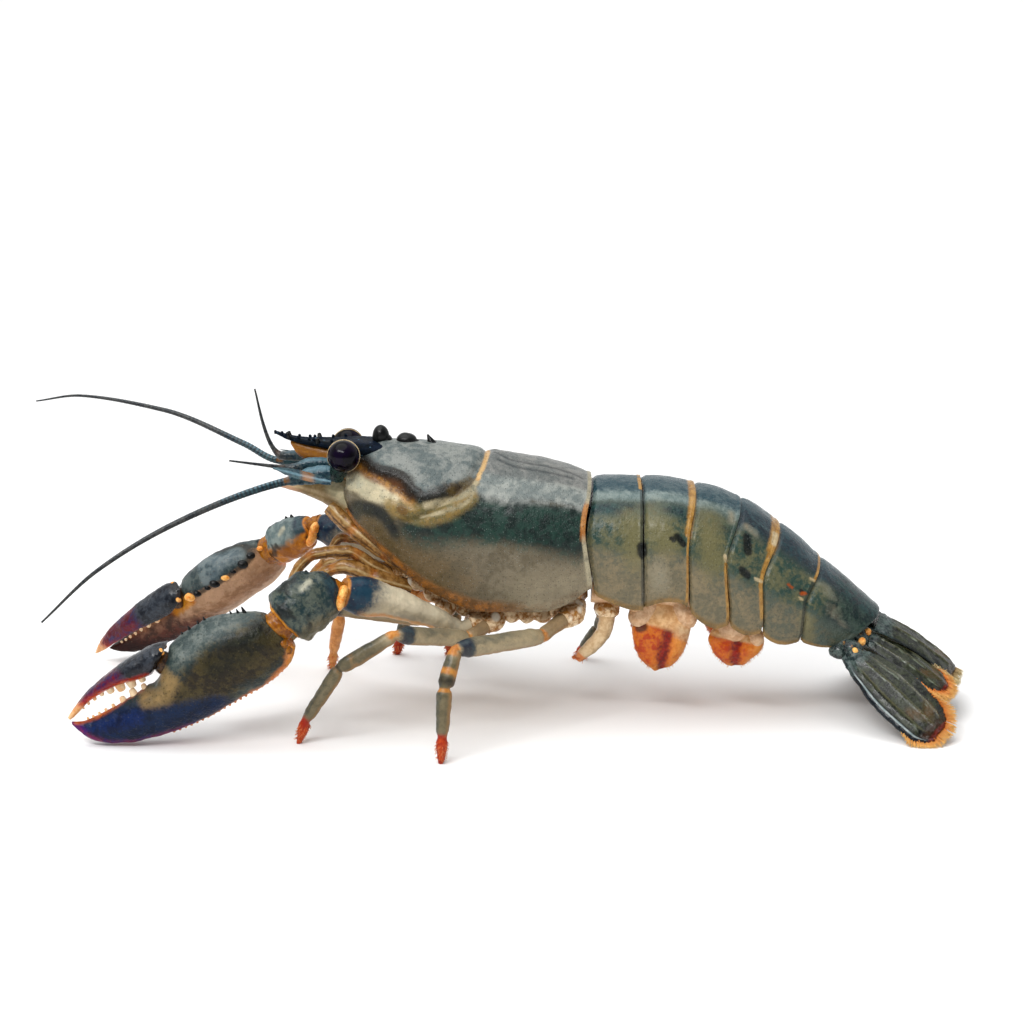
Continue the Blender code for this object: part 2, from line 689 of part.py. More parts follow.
def make_scale(name, side, material):
    """The pointed plate beside a long feeler's stem."""
    foot, tip = Vector(SCALE_FOOT), Vector(SCALE_TIP)
    foot.y *= side
    tip.y *= side
    run = tip - foot
    width = Vector((0.1, side, -0.45)).normalized()
    normal = run.cross(width).normalized()
    rings = []
    for part, half in ((0.0, 0.5), (0.2, 0.9), (0.6, 1.0), (0.85, 0.6), (1.0, 0.12)):
        ring = []
        for k in range(8):
            angle = math.tau * k / 8
            ring.append(foot + run * part + width * SCALE_HALF * half * math.cos(angle)
                        + normal * 0.35 * math.sin(angle) * (1.3 - part))
        rings.append(ring)
    return solid(name, rings, material)


def make_swimmeret(name, rows, side, material):
    rings = []
    for height in steps(rows[0][0], rows[-1][0], 8):
        x, half_long, half_thick = follow([(-row[0], *row[1:]) for row in rows], -height)
        ring = []
        for k in range(12):
            angle = math.tau * k / 12
            notch = 1.0 - 0.18 * max(0.0, math.cos(angle + math.pi / 2)) ** 4
            ring.append((x + half_long * math.cos(angle),
                         side * (SWIMMERET_Y - half_thick * math.sin(angle) * notch), height))
        rings.append(ring)
    return solid(name, rings, material)


def build():
    clear_scene()
    shell = shell_material("slate_shell", (0.085, 0.12, 0.12), 0.38)
    ring_shell = shell_material("teal_shell", (0.07, 0.12, 0.13), 0.35)
    claw_shell = shell_material("claw_shell", (0.06, 0.085, 0.09), 0.4)
    limb_shell = shell_material("limb_shell", (0.16, 0.17, 0.15), 0.42)
    tan = shell_material("tan_skin", (0.42, 0.24, 0.1), 0.5)
    orange = shell_material("orange_lobe", (0.62, 0.2, 0.07), 0.45)
    feeler = shell_material("feeler_shell", (0.06, 0.13, 0.17), 0.4)
    eye = shell_material("eye_black", (0.01, 0.006, 0.015), 0.08)
    fan = shell_material("fan_shell", (0.07, 0.08, 0.06), 0.3)

    make_carapace(shell)
    make_mouth(tan)
    make_breast(tan)
    make_abdomen(ring_shell)
    make_leaf("telson", TELSON, TELSON_WIDTHS, FAR, 0.5, fan)
    for name, side in (("left", NEAR), ("right", FAR)):
        make_leaf("outer_leaf_" + name, OUTER_LEAF, LEAF_WIDTHS, side, 0.7, fan)
        make_leaf("inner_leaf_" + name, INNER_LEAF, LEAF_WIDTHS, side, 0.7, fan)
        make_eye("eye_" + name, side, eye)
        make_scale("feeler_scale_" + name, side, feeler)
        make_swimmeret("swimmeret_front_" + name, SWIMMERET_FRONT, side, orange)
        make_swimmeret("swimmeret_rear_" + name, SWIMMERET_REAR, side, orange)
    make_feeler("long_feeler_left", LONG_FEELER_NEAR, NEAR, 20, feeler)
    make_feeler("long_feeler_right", LONG_FEELER_FAR, FAR, 20, feeler)
    make_feeler("short_feeler_left", SHORT_FEELER_NEAR, NEAR, 10, feeler)
    make_feeler("short_feeler_right", SHORT_FEELER_FAR, FAR, 12, feeler)
    make_tube("mouth_limb_left", MOUTH_LIMB_NEAR, NEAR, 12, 8, tan)
    make_tube("mouth_limb_right", MOUTH_LIMB_FAR, FAR, 10, 8, tan)
    make_tube("arm_left", ARM_NEAR, NEAR, 8, 12, limb_shell)
    make_tube("arm_right", ARM_FAR, FAR, 8, 12, limb_shell)
    make_tube("wrist_left", WRIST_NEAR, NEAR, 9, 14, claw_shell)
    make_tube("wrist_right", WRIST_FAR, FAR, 9, 14, claw_shell)
    make_claw("left", CLAW_NEAR, NEAR, claw_shell)
    make_claw("right", CLAW_FAR, FAR, claw_shell)
    for name, side, scale, joints in LEGS:
        make_leg(name, side, scale, joints, limb_shell)


build()
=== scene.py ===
import math

import bpy
import numpy as np
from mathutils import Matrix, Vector, noise


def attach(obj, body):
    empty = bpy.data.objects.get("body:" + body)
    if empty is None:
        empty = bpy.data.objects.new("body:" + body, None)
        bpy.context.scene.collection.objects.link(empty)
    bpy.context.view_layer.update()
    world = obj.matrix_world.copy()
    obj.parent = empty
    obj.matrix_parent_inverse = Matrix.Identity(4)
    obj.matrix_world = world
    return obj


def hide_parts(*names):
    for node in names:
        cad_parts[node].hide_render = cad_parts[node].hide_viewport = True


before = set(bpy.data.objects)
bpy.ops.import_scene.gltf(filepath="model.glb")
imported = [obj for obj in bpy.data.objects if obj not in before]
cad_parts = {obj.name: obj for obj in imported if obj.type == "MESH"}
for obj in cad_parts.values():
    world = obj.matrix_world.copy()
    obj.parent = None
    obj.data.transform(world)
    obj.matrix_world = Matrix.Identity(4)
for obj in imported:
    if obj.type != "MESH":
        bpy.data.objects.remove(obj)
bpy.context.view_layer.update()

# The crayfish is dressed in the frame of its solids. Lengths are in millimetres until a mesh is made.
MM = 0.001
CENTRING = np.array((1.3, -0.5, 0.0))
NEAR, FAR = -1.0, 1.0
SIDES = (("left", NEAR), ("right", FAR))
BODY = "root"
UPWARD = (0, 0, 1)
WELD = 1e-7              # points closer than this become one

# Camera
CAMERA_TARGET = Vector((0.0045, -0.0005, 0.0432))
CAMERA_DISTANCE = 0.5427168
CAMERA_ELEVATION = math.radians(14.0)
CAMERA_LENS = 90.0
SENSOR_WIDTH = 36.0
# Light of the room around, in front of the crayfish and behind it
ROOM_FRONT, ROOM_BACK = 0.22, 0.85
TOP_LIGHT, TOP_SPREAD = 1.95, math.radians(66)
FRONT_LIGHT = 4.0
FLOOR_SIZE = 24.0
# What the sheen of the pale room adds to a colour, and the least share of a colour that is kept
ROOM_SHEEN = 0.018
DEEPEST = 0.35
TORN_EDGE = 0.45         # how ragged the edges of painted layers are

# Carapace: place along X, back line, lower edge and half width
CARAPACE = (
    (-32.0, 52.4, 46.0, 5.6), (-31.2, 53.8, 44.6, 8.0), (-28.0, 57.4, 41.2, 10.6),
    (-23.0, 59.0, 36.6, 12.8), (-13.0, 58.5, 29.0, 15.2), (-2.0, 56.8, 25.4, 16.4), (9.0, 55.0, 25.4, 16.6),
    (15.5, 53.2, 27.4, 15.9), (19.8, 51.2, 30.4, 14.7),
)
EDGE_ANGLE = math.radians(118)
WAIST = 0.44
CARAPACE_RISE = 2.6
GROOVE_X = -2.0
GROOVE_SWEEP = 17.5
GROOVE_DEPTH = 0.8
GROOVE_WIDTH = 1.0
REAR_BOW = 1.6
BOW_SWEEP = 1.6
FLANK_MM = 33.0          # the way round a flank, from the back line to the lower edge
UNDER_WIDTH = 0.78
UNDER_STEP = 0.6
UNDER_LIFT = 0.75

# Rostrum, the blade between the eyes: place along X, top, bottom and half width
ROSTRUM = (
    (-46.7, 60.9, 60.3, 0.3), (-44.0, 60.1, 59.0, 1.1), (-40.0, 59.5, 57.9, 2.0), (-34.0, 59.3, 56.8, 3.5),
    (-29.0, 59.5, 55.5, 4.9), (-22.0, 58.8, 54.0, 5.6),
)
# The brow under the rostrum, between the eyes
BROW = (
    (-43.4, 58.8, 58.0, 0.3), (-41.6, 58.4, 55.4, 1.1), (-37.0, 58.0, 53.4, 2.3), (-32.0, 57.6, 50.0, 3.6),
    (-29.0, 57.0, 48.0, 5.0),
)
# Spines: x, y, z of the foot, its radius, the height, the lean towards the head, and bluntness
SPINES = (
    (-13.6, 0.0, 57.9, 1.1, 2.4, 1.1, 0.1), (-43.6, 0.9, 59.5, 0.5, 1.1, 0.3, 0.6),
    (-43.6, -0.9, 59.5, 0.5, 1.1, 0.3, 0.6), (-37.4, 2.2, 58.7, 0.6, 1.2, 0.2, 0.6),
    (-37.4, -2.2, 58.7, 0.6, 1.2, 0.2, 0.6), (-46.4, 0.0, 60.2, 0.4, 0.8, 0.3, 0.6),
)
# Round knobs on the back of the head: place along X, radius, foot and top
BACK_KNOBS = ((-24.3, 1.45, 58.4, 62.1), (-18.9, 1.75, 58.0, 60.4))
# Places of the small beads along both edges of the rostrum
ROSTRUM_BEADS = (-45.2, -44.2, -41.6, -39.4, -38.4, -34.6, -32.0)

# Mouth parts in front of the carapace: place along X, top, bottom and half width
MOUTH = (
    (-45.6, 50.0, 48.7, 1.0), (-42.0, 50.9, 47.8, 2.8), (-37.5, 51.3, 46.0, 4.2), (-34.0, 51.2, 43.8, 5.2),
    (-31.0, 50.6, 41.4, 6.6),
)
# Breast plate, which carries the limbs: place along X, drop below the carapace edge, half width
BREAST = (
    (-31.6, 2.6, 4.6), (-24.0, 2.3, 6.6), (-12.0, 2.9, 8.4), (-1.0, 3.8, 9.4), (10.0, 4.3, 9.4),
    (17.0, 4.3, 8.6), (21.6, 3.4, 6.0),
)

# Abdomen: each joint between two rings, as top x and z, low x and z, half width and flank bow
JOINTS = (
    (20.1, 50.6, 20.1, 28.6, 14.2, 1.6), (30.4, 50.6, 30.7, 25.4, 14.7, 0.2),
    (41.8, 49.2, 39.9, 25.8, 14.6, 1.2), (51.4, 46.2, 48.4, 22.4, 14.1, 2.4),
    (59.8, 40.8, 55.4, 20.2, 13.3, 2.4), (68.6, 33.4, 63.6, 18.0, 12.0, 1.7),
    (81.6, 22.2, 72.4, 15.6, 8.6, 0.6),
)
JOINT_GAP = 0.008
RING_MM = 10.0           # about how long a ring is
RING_RISE = 3.2
RING_CROWN = 0.45
LOBE_DROP = (0.4, -1.6, 2.6, 1.4, 1.6, 0.6)
RING_TUCK = 0.4          # how deep a ring's front edge lies under the ring before it

# Tail leaves: half widths from foot to tip
LEAF_WIDTHS = ((0.0, 2.0), (0.22, 4.2), (0.55, 6.0), (0.85, 5.6), (0.96, 3.9), (1.0, 2.0))
TELSON_WIDTHS = ((0.0, 5.2), (0.25, 6.5), (0.6, 6.6), (0.85, 5.9), (0.96, 4.5), (1.0, 2.6))
LEAF_HALF_THICK = 0.62
LEAF_DOME = 0.9
# Each leaf: foot, tip, width direction, scale, and how far its two long edges droop
TELSON = ((81.0, 0.0, 20.1), (98.2, 0.0, 8.7), (0.0, 1.0, 0.0), 1.0, 1.5)
OUTER_LEAF = ((74.4, 9.6, 15.2), (91.4, 25.2, 2.5), (0.66, -0.54, 0.5), 0.96, 0.5)
INNER_LEAF = ((77.6, 4.4, 17.3), (94.8, 11.4, 7.6), (0.42, -0.86, 0.14), 0.8, 0.2)

# Eyes and feelers
EYE_CENTRE = (-31.8, 8.0, 57.1)
EYE_RADIUS = 3.35
FAR_EYE_DROP = 0.8       # how much lower the hidden eye sits
STALK_FOOT = (-33.6, 6.6, 52.0)
# Feelers: x, distance from the midline, z and radius
LONG_FEELER_NEAR = (
    (-33.0, 6.2, 53.2, 1.6), (-38.5, 6.3, 52.6, 1.9), (-41.6, 6.1, 51.9, 1.5), (-44.0, 6.1, 51.3, 0.85),
    (-51.4, 9.0, 49.7, 0.74), (-66.7, 15.0, 44.3, 0.6), (-82.2, 19.0, 35.4, 0.42), (-93.6, 21.0, 25.0, 0.2),
)
LONG_FEELER_FAR = (
    (-33.0, 6.2, 53.6, 1.6), (-38.5, 6.3, 53.4, 1.8), (-43.0, 6.1, 52.7, 1.4), (-46.8, 6.0, 53.1, 0.75),
    (-54.1, 9.0, 56.0, 0.66), (-72.1, 15.0, 62.2, 0.48), (-90.7, 21.0, 64.1, 0.3),
    (-101.1, 24.0, 62.3, 0.16),
)
SHORT_FEELER_NEAR = (
    (-33.0, 2.2, 54.4, 1.2), (-39.0, 2.4, 54.2, 1.35), (-43.6, 2.6, 53.4, 0.8), (-46.0, 3.2, 53.8, 0.45),
    (-55.9, 5.0, 55.5, 0.18),
)
SHORT_FEELER_FAR = (
    (-33.0, 2.2, 54.8, 1.2), (-40.0, 2.4, 54.9, 1.35), (-45.6, 2.8, 54.9, 0.9), (-47.4, 3.1, 56.4, 0.5),
    (-49.3, 3.5, 61.0, 0.36), (-51.1, 4.0, 69.0, 0.18),
)
SCALE_FOOT, SCALE_TIP, SCALE_HALF = (-34.4, 10.0, 52.0), (-46.4, 8.8, 54.8), 1.6

# Claws, in the claw's own frame: its length runs to the tip, its rise to the movable finger.
# Each row joins a place on the lower edge to one on the upper edge, with the half thickness there.
PALM_REACH = 47.6
PALM = (
    (-1.6, -5.2, 1.8, 4.2, 3.4), (0.6, -7.6, 6.4, 6.5, 4.8), (7.6, -9.9, 13.2, 7.6, 5.6),
    (16.5, -10.8, 20.5, 6.4, 5.4), (24.0, -11.3, 24.6, 3.4, 4.9), (30.0, -11.0, 29.0, 0.3, 4.2),
    (36.5, -9.8, 36.0, -0.7, 3.3), (43.0, -7.4, 43.0, -1.2, 2.2), (46.6, -3.6, 46.4, -0.7, 1.1),
    (47.6, -0.9, 47.6, -0.3, 0.3),
)
FINGER = (
    (21.8, 6.8, 25.8, 3.6, 2.8), (24.6, 7.6, 28.3, 2.0, 3.6), (28.8, 7.3, 31.2, 2.2, 3.4),
    (35.2, 6.2, 36.4, 3.0, 2.8), (41.2, 4.5, 41.6, 2.3, 2.0), (45.5, 2.4, 45.4, 1.0, 1.1),
    (47.8, 0.9, 47.6, 0.3, 0.3),
)
BACK_FULLNESS, BELLY_FULLNESS = 1.06, 0.94
# Each claw: wrist, tip, direction of its rise, and how much its finger is stretched
CLAW_NEAR = ((-44.7, -24.6, 25.1), (-87.6, -25.4, 5.2), (-0.42, 0.0, 0.91), 1.0)
CLAW_FAR = ((-50.8, 25.8, 27.7), (-88.8, 31.4, 3.6), (-0.36, -0.75, 0.55), 1.12)
# Arm and wrist block: x, distance from the midline, z, half height and half width
ARM_NEAR = (
    (-4.0, 9.6, 21.6, 1.9, 1.9), (-7.0, 11.6, 20.9, 1.7, 1.7), (-12.0, 13.2, 23.4, 2.2, 2.1),
    (-21.0, 16.4, 27.7, 3.3, 2.9), (-28.0, 19.0, 30.1, 4.1, 3.5), (-31.6, 20.3, 31.2, 3.1, 2.7),
)
WRIST_NEAR = (
    (-32.4, 20.8, 31.6, 2.4, 2.2), (-34.8, 21.6, 31.0, 5.0, 4.4), (-38.8, 22.9, 29.6, 6.4, 5.4),
    (-42.2, 23.9, 27.2, 6.0, 5.0), (-43.5, 24.2, 26.1, 4.4, 3.8),
)
ARM_FAR = (
    (-7.0, 9.8, 22.6, 1.9, 1.9), (-9.5, 11.6, 21.8, 1.7, 1.7), (-14.0, 13.2, 24.4, 2.4, 2.2),
    (-26.0, 16.0, 30.2, 3.3, 2.9), (-35.5, 18.2, 34.2, 3.6, 3.3), (-40.0, 19.4, 35.2, 2.6, 2.4),
)
WRIST_FAR = (
    (-41.1, 19.9, 34.8, 2.1, 2.0), (-42.6, 20.6, 33.6, 3.7, 3.6), (-45.6, 22.2, 31.6, 4.6, 4.4),
    (-48.2, 23.8, 30.0, 4.4, 4.0), (-49.4, 24.5, 29.2, 3.2, 2.9),
)

# Walking legs, front to back: the joints from the body to the claw, x, distance from the midline, z
LEG_RADII = ((1.8, 1.5), (1.9, 2.0), (1.5, 1.7), (1.6, 1.3), (1.2, 0.7))
LEGS = (
    ("leg_left_1", NEAR, 0.85, (
        (-10.6, 8.6, 24.7), (-15.5, 9.2, 22.2), (-36.0, 11.5, 25.8), (-46.5, 12.6, 17.2),
        (-54.4, 13.2, 8.4), (-56.4, 13.3, 5.6))),
    ("leg_left_2", NEAR, 0.95, (
        (-0.6, 9.4, 22.4), (-6.0, 14.0, 19.5), (-20.6, 24.6, 23.4), (-32.2, 25.2, 16.4),
        (-39.4, 24.7, 4.9), (-40.9, 24.4, 0.0))),
    ("leg_left_3", NEAR, 1.0, (
        (16.2, 9.4, 24.0), (9.4, 15.4, 20.4), (-8.2, 30.0, 21.9), (-10.4, 33.6, 14.9),
        (-10.9, 36.2, 5.2), (-11.2, 36.8, 0.0))),
    ("leg_left_4", NEAR, 1.0, (
        (23.2, 8.0, 23.4), (23.2, 8.2, 21.8), (22.3, 8.0, 18.8), (20.2, 7.4, 16.0),
        (18.2, 6.8, 13.8), (17.3, 6.4, 12.6))),
    ("leg_right_1", FAR, 0.9, (
        (-12.4, 8.2, 23.0), (-17.0, 12.0, 20.8), (-31.6, 19.8, 25.2), (-35.2, 22.4, 14.0),
        (-37.1, 25.9, 4.0), (-37.5, 26.5, 0.0))),
    ("leg_right_2", FAR, 0.95, (
        (-0.6, 9.4, 22.4), (-5.0, 15.4, 20.6), (-15.0, 29.0, 23.0), (-20.4, 35.0, 11.4),
        (-22.8, 37.4, 3.2), (-23.2, 37.8, 0.0))),
    ("leg_right_3", FAR, 0.95, (
        (16.2, 9.4, 24.0), (9.6, 15.4, 20.4), (-5.6, 28.6, 21.8), (-9.6, 33.6, 11.4),
        (-11.0, 36.4, 3.2), (-11.2, 36.9, 0.0))),
    ("leg_right_4", FAR, 0.85, (
        (23.2, 8.2, 22.4), (24.2, 13.2, 20.6), (25.4, 24.4, 17.4), (22.8, 31.4, 8.2),
        (19.2, 34.3, 2.6), (18.1, 34.9, 0.0))),
)

# Mouth limbs that arch under the head: x, distance from the midline, z and radius
MOUTH_LIMB_NEAR = (
    (-20.4, 6.2, 30.4, 1.3), (-25.8, 6.8, 33.2, 1.4), (-31.9, 7.2, 36.7, 1.25), (-38.1, 7.8, 36.0, 1.2),
    (-41.9, 7.8, 32.6, 1.1), (-43.8, 7.4, 28.4, 0.7),
)
MOUTH_LIMB_FAR = (
    (-21.8, 4.0, 29.2, 1.3), (-28.4, 4.4, 30.6, 1.5), (-34.8, 4.6, 31.4, 1.6), (-38.8, 4.6, 28.4, 1.5),
    (-40.9, 4.4, 23.6, 0.8),
)

# Swimmerets under the abdomen: height, x, half length and half thickness
SWIMMERET_FRONT = (
    (27.0, 35.0, 3.8, 1.2), (23.6, 34.9, 5.6, 2.2), (20.6, 34.7, 6.1, 2.9), (17.2, 34.6, 5.8, 3.2),
    (13.2, 34.4, 3.9, 2.5), (10.6, 34.4, 1.2, 0.9),
)
SWIMMERET_REAR = (
    (21.8, 50.4, 3.0, 1.0), (19.6, 50.5, 5.0, 1.9), (17.6, 50.6, 5.9, 2.5), (15.2, 50.7, 5.2, 2.9),
    (12.9, 50.5, 3.0, 2.1), (11.4, 50.4, 1.0, 0.8),
)
SWIMMERET_Y = 8.2


def follow(table, places):
    """The columns of a table at many places in its first column, smooth and without overshoot."""
    rows = np.array(table, float)
    places = np.clip(np.asarray(places, float), rows[0, 0], rows[-1, 0])
    runs = np.diff(rows[:, 0])
    rises = np.diff(rows[:, 1:], axis=0) / runs[:, None]
    before, after = rises[:-1], rises[1:]
    agree = before * after > 0
    inner = np.where(agree, 2 * before * after / np.where(agree, before + after, 1.0), 0.0)
    slopes = np.vstack((rises[:1], inner, rises[-1:]))
    at = np.clip(np.searchsorted(rows[:, 0], places, side="right") - 1, 0, len(runs) - 1)
    span = runs[at][..., None]
    t = ((places - rows[at, 0]) / runs[at])[..., None]
    return ((2 * t**3 - 3 * t**2 + 1) * rows[at, 1:] + (t**3 - 2 * t**2 + t) * slopes[at] * span
            + (3 * t**2 - 2 * t**3) * rows[at + 1, 1:] + (t**3 - t**2) * slopes[at + 1] * span)


def smooth(low, high, value):
    """A soft step from 0 at low to 1 at high."""
    t = np.clip((value - low) / (high - low), 0.0, 1.0)
    return t * t * (3 - 2 * t)


def stripe(value, place, half, soft):
    """A stripe across a value: 1 within half of its place, fading to 0 over the soft width."""
    return 1 - smooth(half - soft, half + soft, np.abs(value - place))


def brush(u, v, line, half, soft):
    """A brush stroke along a line: 1 within half of it, fading to 0 over the soft width."""
    nearest = np.full(np.shape(u), 1e9)
    for start, end in zip(line, line[1:]):
        run_u, run_v = end[0] - start[0], end[1] - start[1]
        t = np.clip(((u - start[0]) * run_u + (v - start[1]) * run_v) / (run_u**2 + run_v**2), 0, 1)
        nearest = np.minimum(nearest, np.hypot(u - start[0] - t * run_u, v - start[1] - t * run_v))
    return stripe(nearest, 0.0, half, soft)


def rough(points, size, octaves=3):
    """Soft noise from about -1 to 1 at each point, its lumps about as wide as size."""
    flat = (points / size).reshape(-1, 3)
    values = [noise.fractal(Vector(spot), 0.9, 2.1, octaves) for spot in flat]
    return np.array(values).reshape(points.shape[:-1])


def lumps(points, wide, wide_height, fine, fine_height):
    """Relief of wide soft lumps with fine ones over them."""
    return rough(points, wide) * wide_height + rough(points, fine, 2) * fine_height


def raised(points, height):
    """A closed grid of points with each one moved outwards by its height."""
    wrapped = np.concatenate((points[:, -2:-1], points, points[:, 1:2]), axis=1)
    across = wrapped[:, 2:] - wrapped[:, :-2]
    along = np.gradient(points, axis=0)
    normal = np.cross(across, along)
    normal /= np.maximum(np.linalg.norm(normal, axis=-1, keepdims=True), 1e-9)
    outward = points - points.mean(axis=1, keepdims=True)
    if np.sum(normal * outward) < 0:
        normal = -normal
    return points + normal * height[..., None]


def unit(vector):
    return vector / np.linalg.norm(vector, axis=-1, keepdims=True)


def lengths(path):
    """How far along a path each of its points lies."""
    return np.concatenate(((0.0,), np.cumsum(np.linalg.norm(np.diff(path, axis=0), axis=1))))


def on_side(point, side):
    """A point given by its distance from the midline, put on one side of it."""
    return np.array(point) * (1, side, 1)


def spot_of(x, y, z):
    return (np.array((x, y, z)) + CENTRING) * MM


def turned(direction):
    """The turn that brings Z to a direction."""
    return Vector(direction).to_track_quat("Z", "Y").to_euler()


def choose(*pieces):
    """Object mode, with these pieces alone selected and the last one active."""
    if bpy.context.object and bpy.context.object.mode != "OBJECT":
        bpy.ops.object.mode_set(mode="OBJECT")
    bpy.ops.object.select_all(action="DESELECT")
    for piece in pieces:
        piece.select_set(True)
        bpy.context.view_layer.objects.active = piece


def edit_whole():
    """Edit mode, with the whole of the active mesh selected."""
    bpy.ops.object.mode_set(mode="EDIT")
    bpy.ops.mesh.select_all(action="SELECT")


def end_edit():
    """Object mode again, with every face turned outwards."""
    bpy.ops.mesh.normals_make_consistent(inside=False)
    bpy.ops.object.mode_set(mode="OBJECT")


def skin(name, points, paints, material):
    """A closed piece through rings of points, each ring a row, both ends closed at a pole.

    It starts as a grid whose points are moved to their places. Each paint is kept as an attribute.
    """
    rings, sides = points.shape[:2]
    ends = [points[k].mean(axis=0, keepdims=True).repeat(sides, axis=0)[None] for k in (0, -1)]
    points = np.concatenate((ends[0], points, ends[1]))
    choose()
    bpy.ops.mesh.primitive_grid_add(x_subdivisions=sides - 1, y_subdivisions=rings + 1)
    piece = bpy.context.object
    piece.name = piece.data.name = name
    mesh = piece.data
    mesh.vertices.foreach_set("co", ((points + CENTRING) * MM).ravel())
    for paint, values in paints.items():
        values = np.broadcast_to(values, (rings, sides))
        values = np.concatenate((values[:1], values, values[-1:]))
        mesh.attributes.new(paint, "FLOAT", "POINT").data.foreach_set("value", values.ravel())
    edit_whole()
    bpy.ops.mesh.remove_doubles(threshold=WELD)
    bpy.ops.mesh.dissolve_degenerate(threshold=1e-8)
    end_edit()
    while mesh.uv_layers:
        mesh.uv_layers.remove(mesh.uv_layers[0])
    mesh.materials.append(material)
    bpy.ops.object.shade_smooth_by_angle(angle=math.radians(55))
    return piece


def settled(piece, material):
    """A primitive with its place, turn and size put into its mesh, and its look on."""
    piece.data.materials.append(material)
    choose(piece)
    bpy.ops.object.transform_apply(location=True, rotation=True, scale=True)
    return piece


def cone(foot, direction, radius, height, material, blunt, sides=12):
    """A spine, tooth or knob: a cone with a rounded tip, the rounder the blunter it is."""
    direction = Vector(direction).normalized()
    middle = Vector(spot_of(*foot)) + direction * height * MM / 2
    choose()
    bpy.ops.mesh.primitive_cone_add(
        vertices=sides, radius1=radius * MM, radius2=radius * blunt * MM, depth=height * MM,
        location=middle, rotation=turned(direction))
    edit_whole()
    bpy.ops.mesh.bevel(offset=radius * MM * min(0.3, 0.1 + blunt * 0.5), segments=2, affect="EDGES")
    bpy.ops.mesh.remove_doubles(threshold=WELD)
    end_edit()
    piece = settled(bpy.context.object, material)
    bpy.ops.object.shade_smooth_by_angle(angle=math.radians(60))
    return piece


def pebble(centre, radii, material, along=UPWARD, lumpy=0.0, segments=20):
    """A rounded knob, its radii across, over and along its direction."""
    choose()
    bpy.ops.mesh.primitive_uv_sphere_add(
        segments=segments, ring_count=segments // 2, radius=MM, location=spot_of(*centre),
        rotation=turned(along), scale=radii)
    piece = settled(bpy.context.object, material)
    if lumpy:
        swell = piece.modifiers.new("lumps", "DISPLACE")
        swell.texture = bpy.data.textures.new("lumps", "CLOUDS")
        swell.texture.noise_scale = 2.0 * MM
        swell.texture_coords = "LOCAL"
        swell.strength = lumpy * MM
        swell.mid_level = 0.5
        bpy.ops.object.modifier_apply(modifier=swell.name)
    bpy.ops.object.shade_smooth()
    return piece


def hairs(name, roots, tips, width, material):
    """Many thin bristles in one mesh, each a three-sided cone that thins towards its tip."""
    run = tips - roots
    side = unit(np.cross(run, (0.3, 0.2, 1.0)))
    over = unit(np.cross(run, side))
    corners = []
    for part, size in ((0.0, 1.0), (0.5, 0.75), (0.85, 0.4)):
        for angle in (math.tau * k / 3 for k in range(3)):
            spoke = (side * math.cos(angle) + over * math.sin(angle)) * (width * size)
            corners.append(roots + run * part + spoke)
    corners = np.stack(corners + [tips], axis=1)
    around = ((0, 1), (1, 2), (2, 0))
    shape = [(0, 2, 1)]
    shape += [(level + a, level + b, level + b + 3, level + a + 3) for level in (0, 3) for a, b in around]
    shape += [(6 + a, 6 + b, 9) for a, b in around]
    faces = [tuple(corner + first for corner in face)
             for first in range(0, 10 * len(roots), 10) for face in shape]
    mesh = bpy.data.meshes.new(name)
    mesh.from_pydata([tuple(c) for c in ((corners.reshape(-1, 3) + CENTRING) * MM)], [], faces)
    along = np.tile(np.repeat((0, 0.5, 0.85, 1.0), (3, 3, 3, 1)), len(roots))
    mesh.attributes.new("along", "FLOAT", "POINT").data.foreach_set("value", along)
    mesh.materials.append(material)
    piece = bpy.data.objects.new(name, mesh)
    bpy.context.collection.objects.link(piece)
    choose(piece)
    edit_whole()
    end_edit()
    bpy.ops.object.shade_smooth()
    return piece


def dress(name, pieces, slot, *nodes):
    """Makes one piece of several and puts it on the body, in place of the solids it stands for."""
    choose(*pieces)
    if len(pieces) > 1:
        bpy.ops.object.join()
    piece = bpy.context.object
    piece.name = piece.data.name = name
    if nodes:
        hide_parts(*nodes)
    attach(piece, BODY)


def linear(red, green, blue):
    """A colour as it is seen, 0 to 255, turned into shader light less the sheen the pale room adds."""
    values = []
    for part in (red, green, blue):
        part /= 255
        light = part / 12.92 if part <= 0.04045 else ((part + 0.055) / 1.055) ** 2.4
        values.append(max(light - ROOM_SHEEN, light * DEEPEST))
    return (*values, 1.0)


class Wire:
    """A shader socket that takes part in Python sums."""

    def __init__(self, finish, socket):
        self.finish, self.socket = finish, socket

    def sum(self, operation, first, second):
        return self.finish.node("ShaderNodeMath", {"operation": operation}, {0: first, 1: second})

    def __add__(self, other):
        return self.sum("ADD", self, other)

    def __radd__(self, other):
        return self.sum("ADD", other, self)

    def __sub__(self, other):
        return self.sum("SUBTRACT", self, other)

    def __rsub__(self, other):
        return self.sum("SUBTRACT", other, self)

    def __mul__(self, other):
        return self.sum("MULTIPLY", self, other)

    def __rmul__(self, other):
        return self.sum("MULTIPLY", other, self)


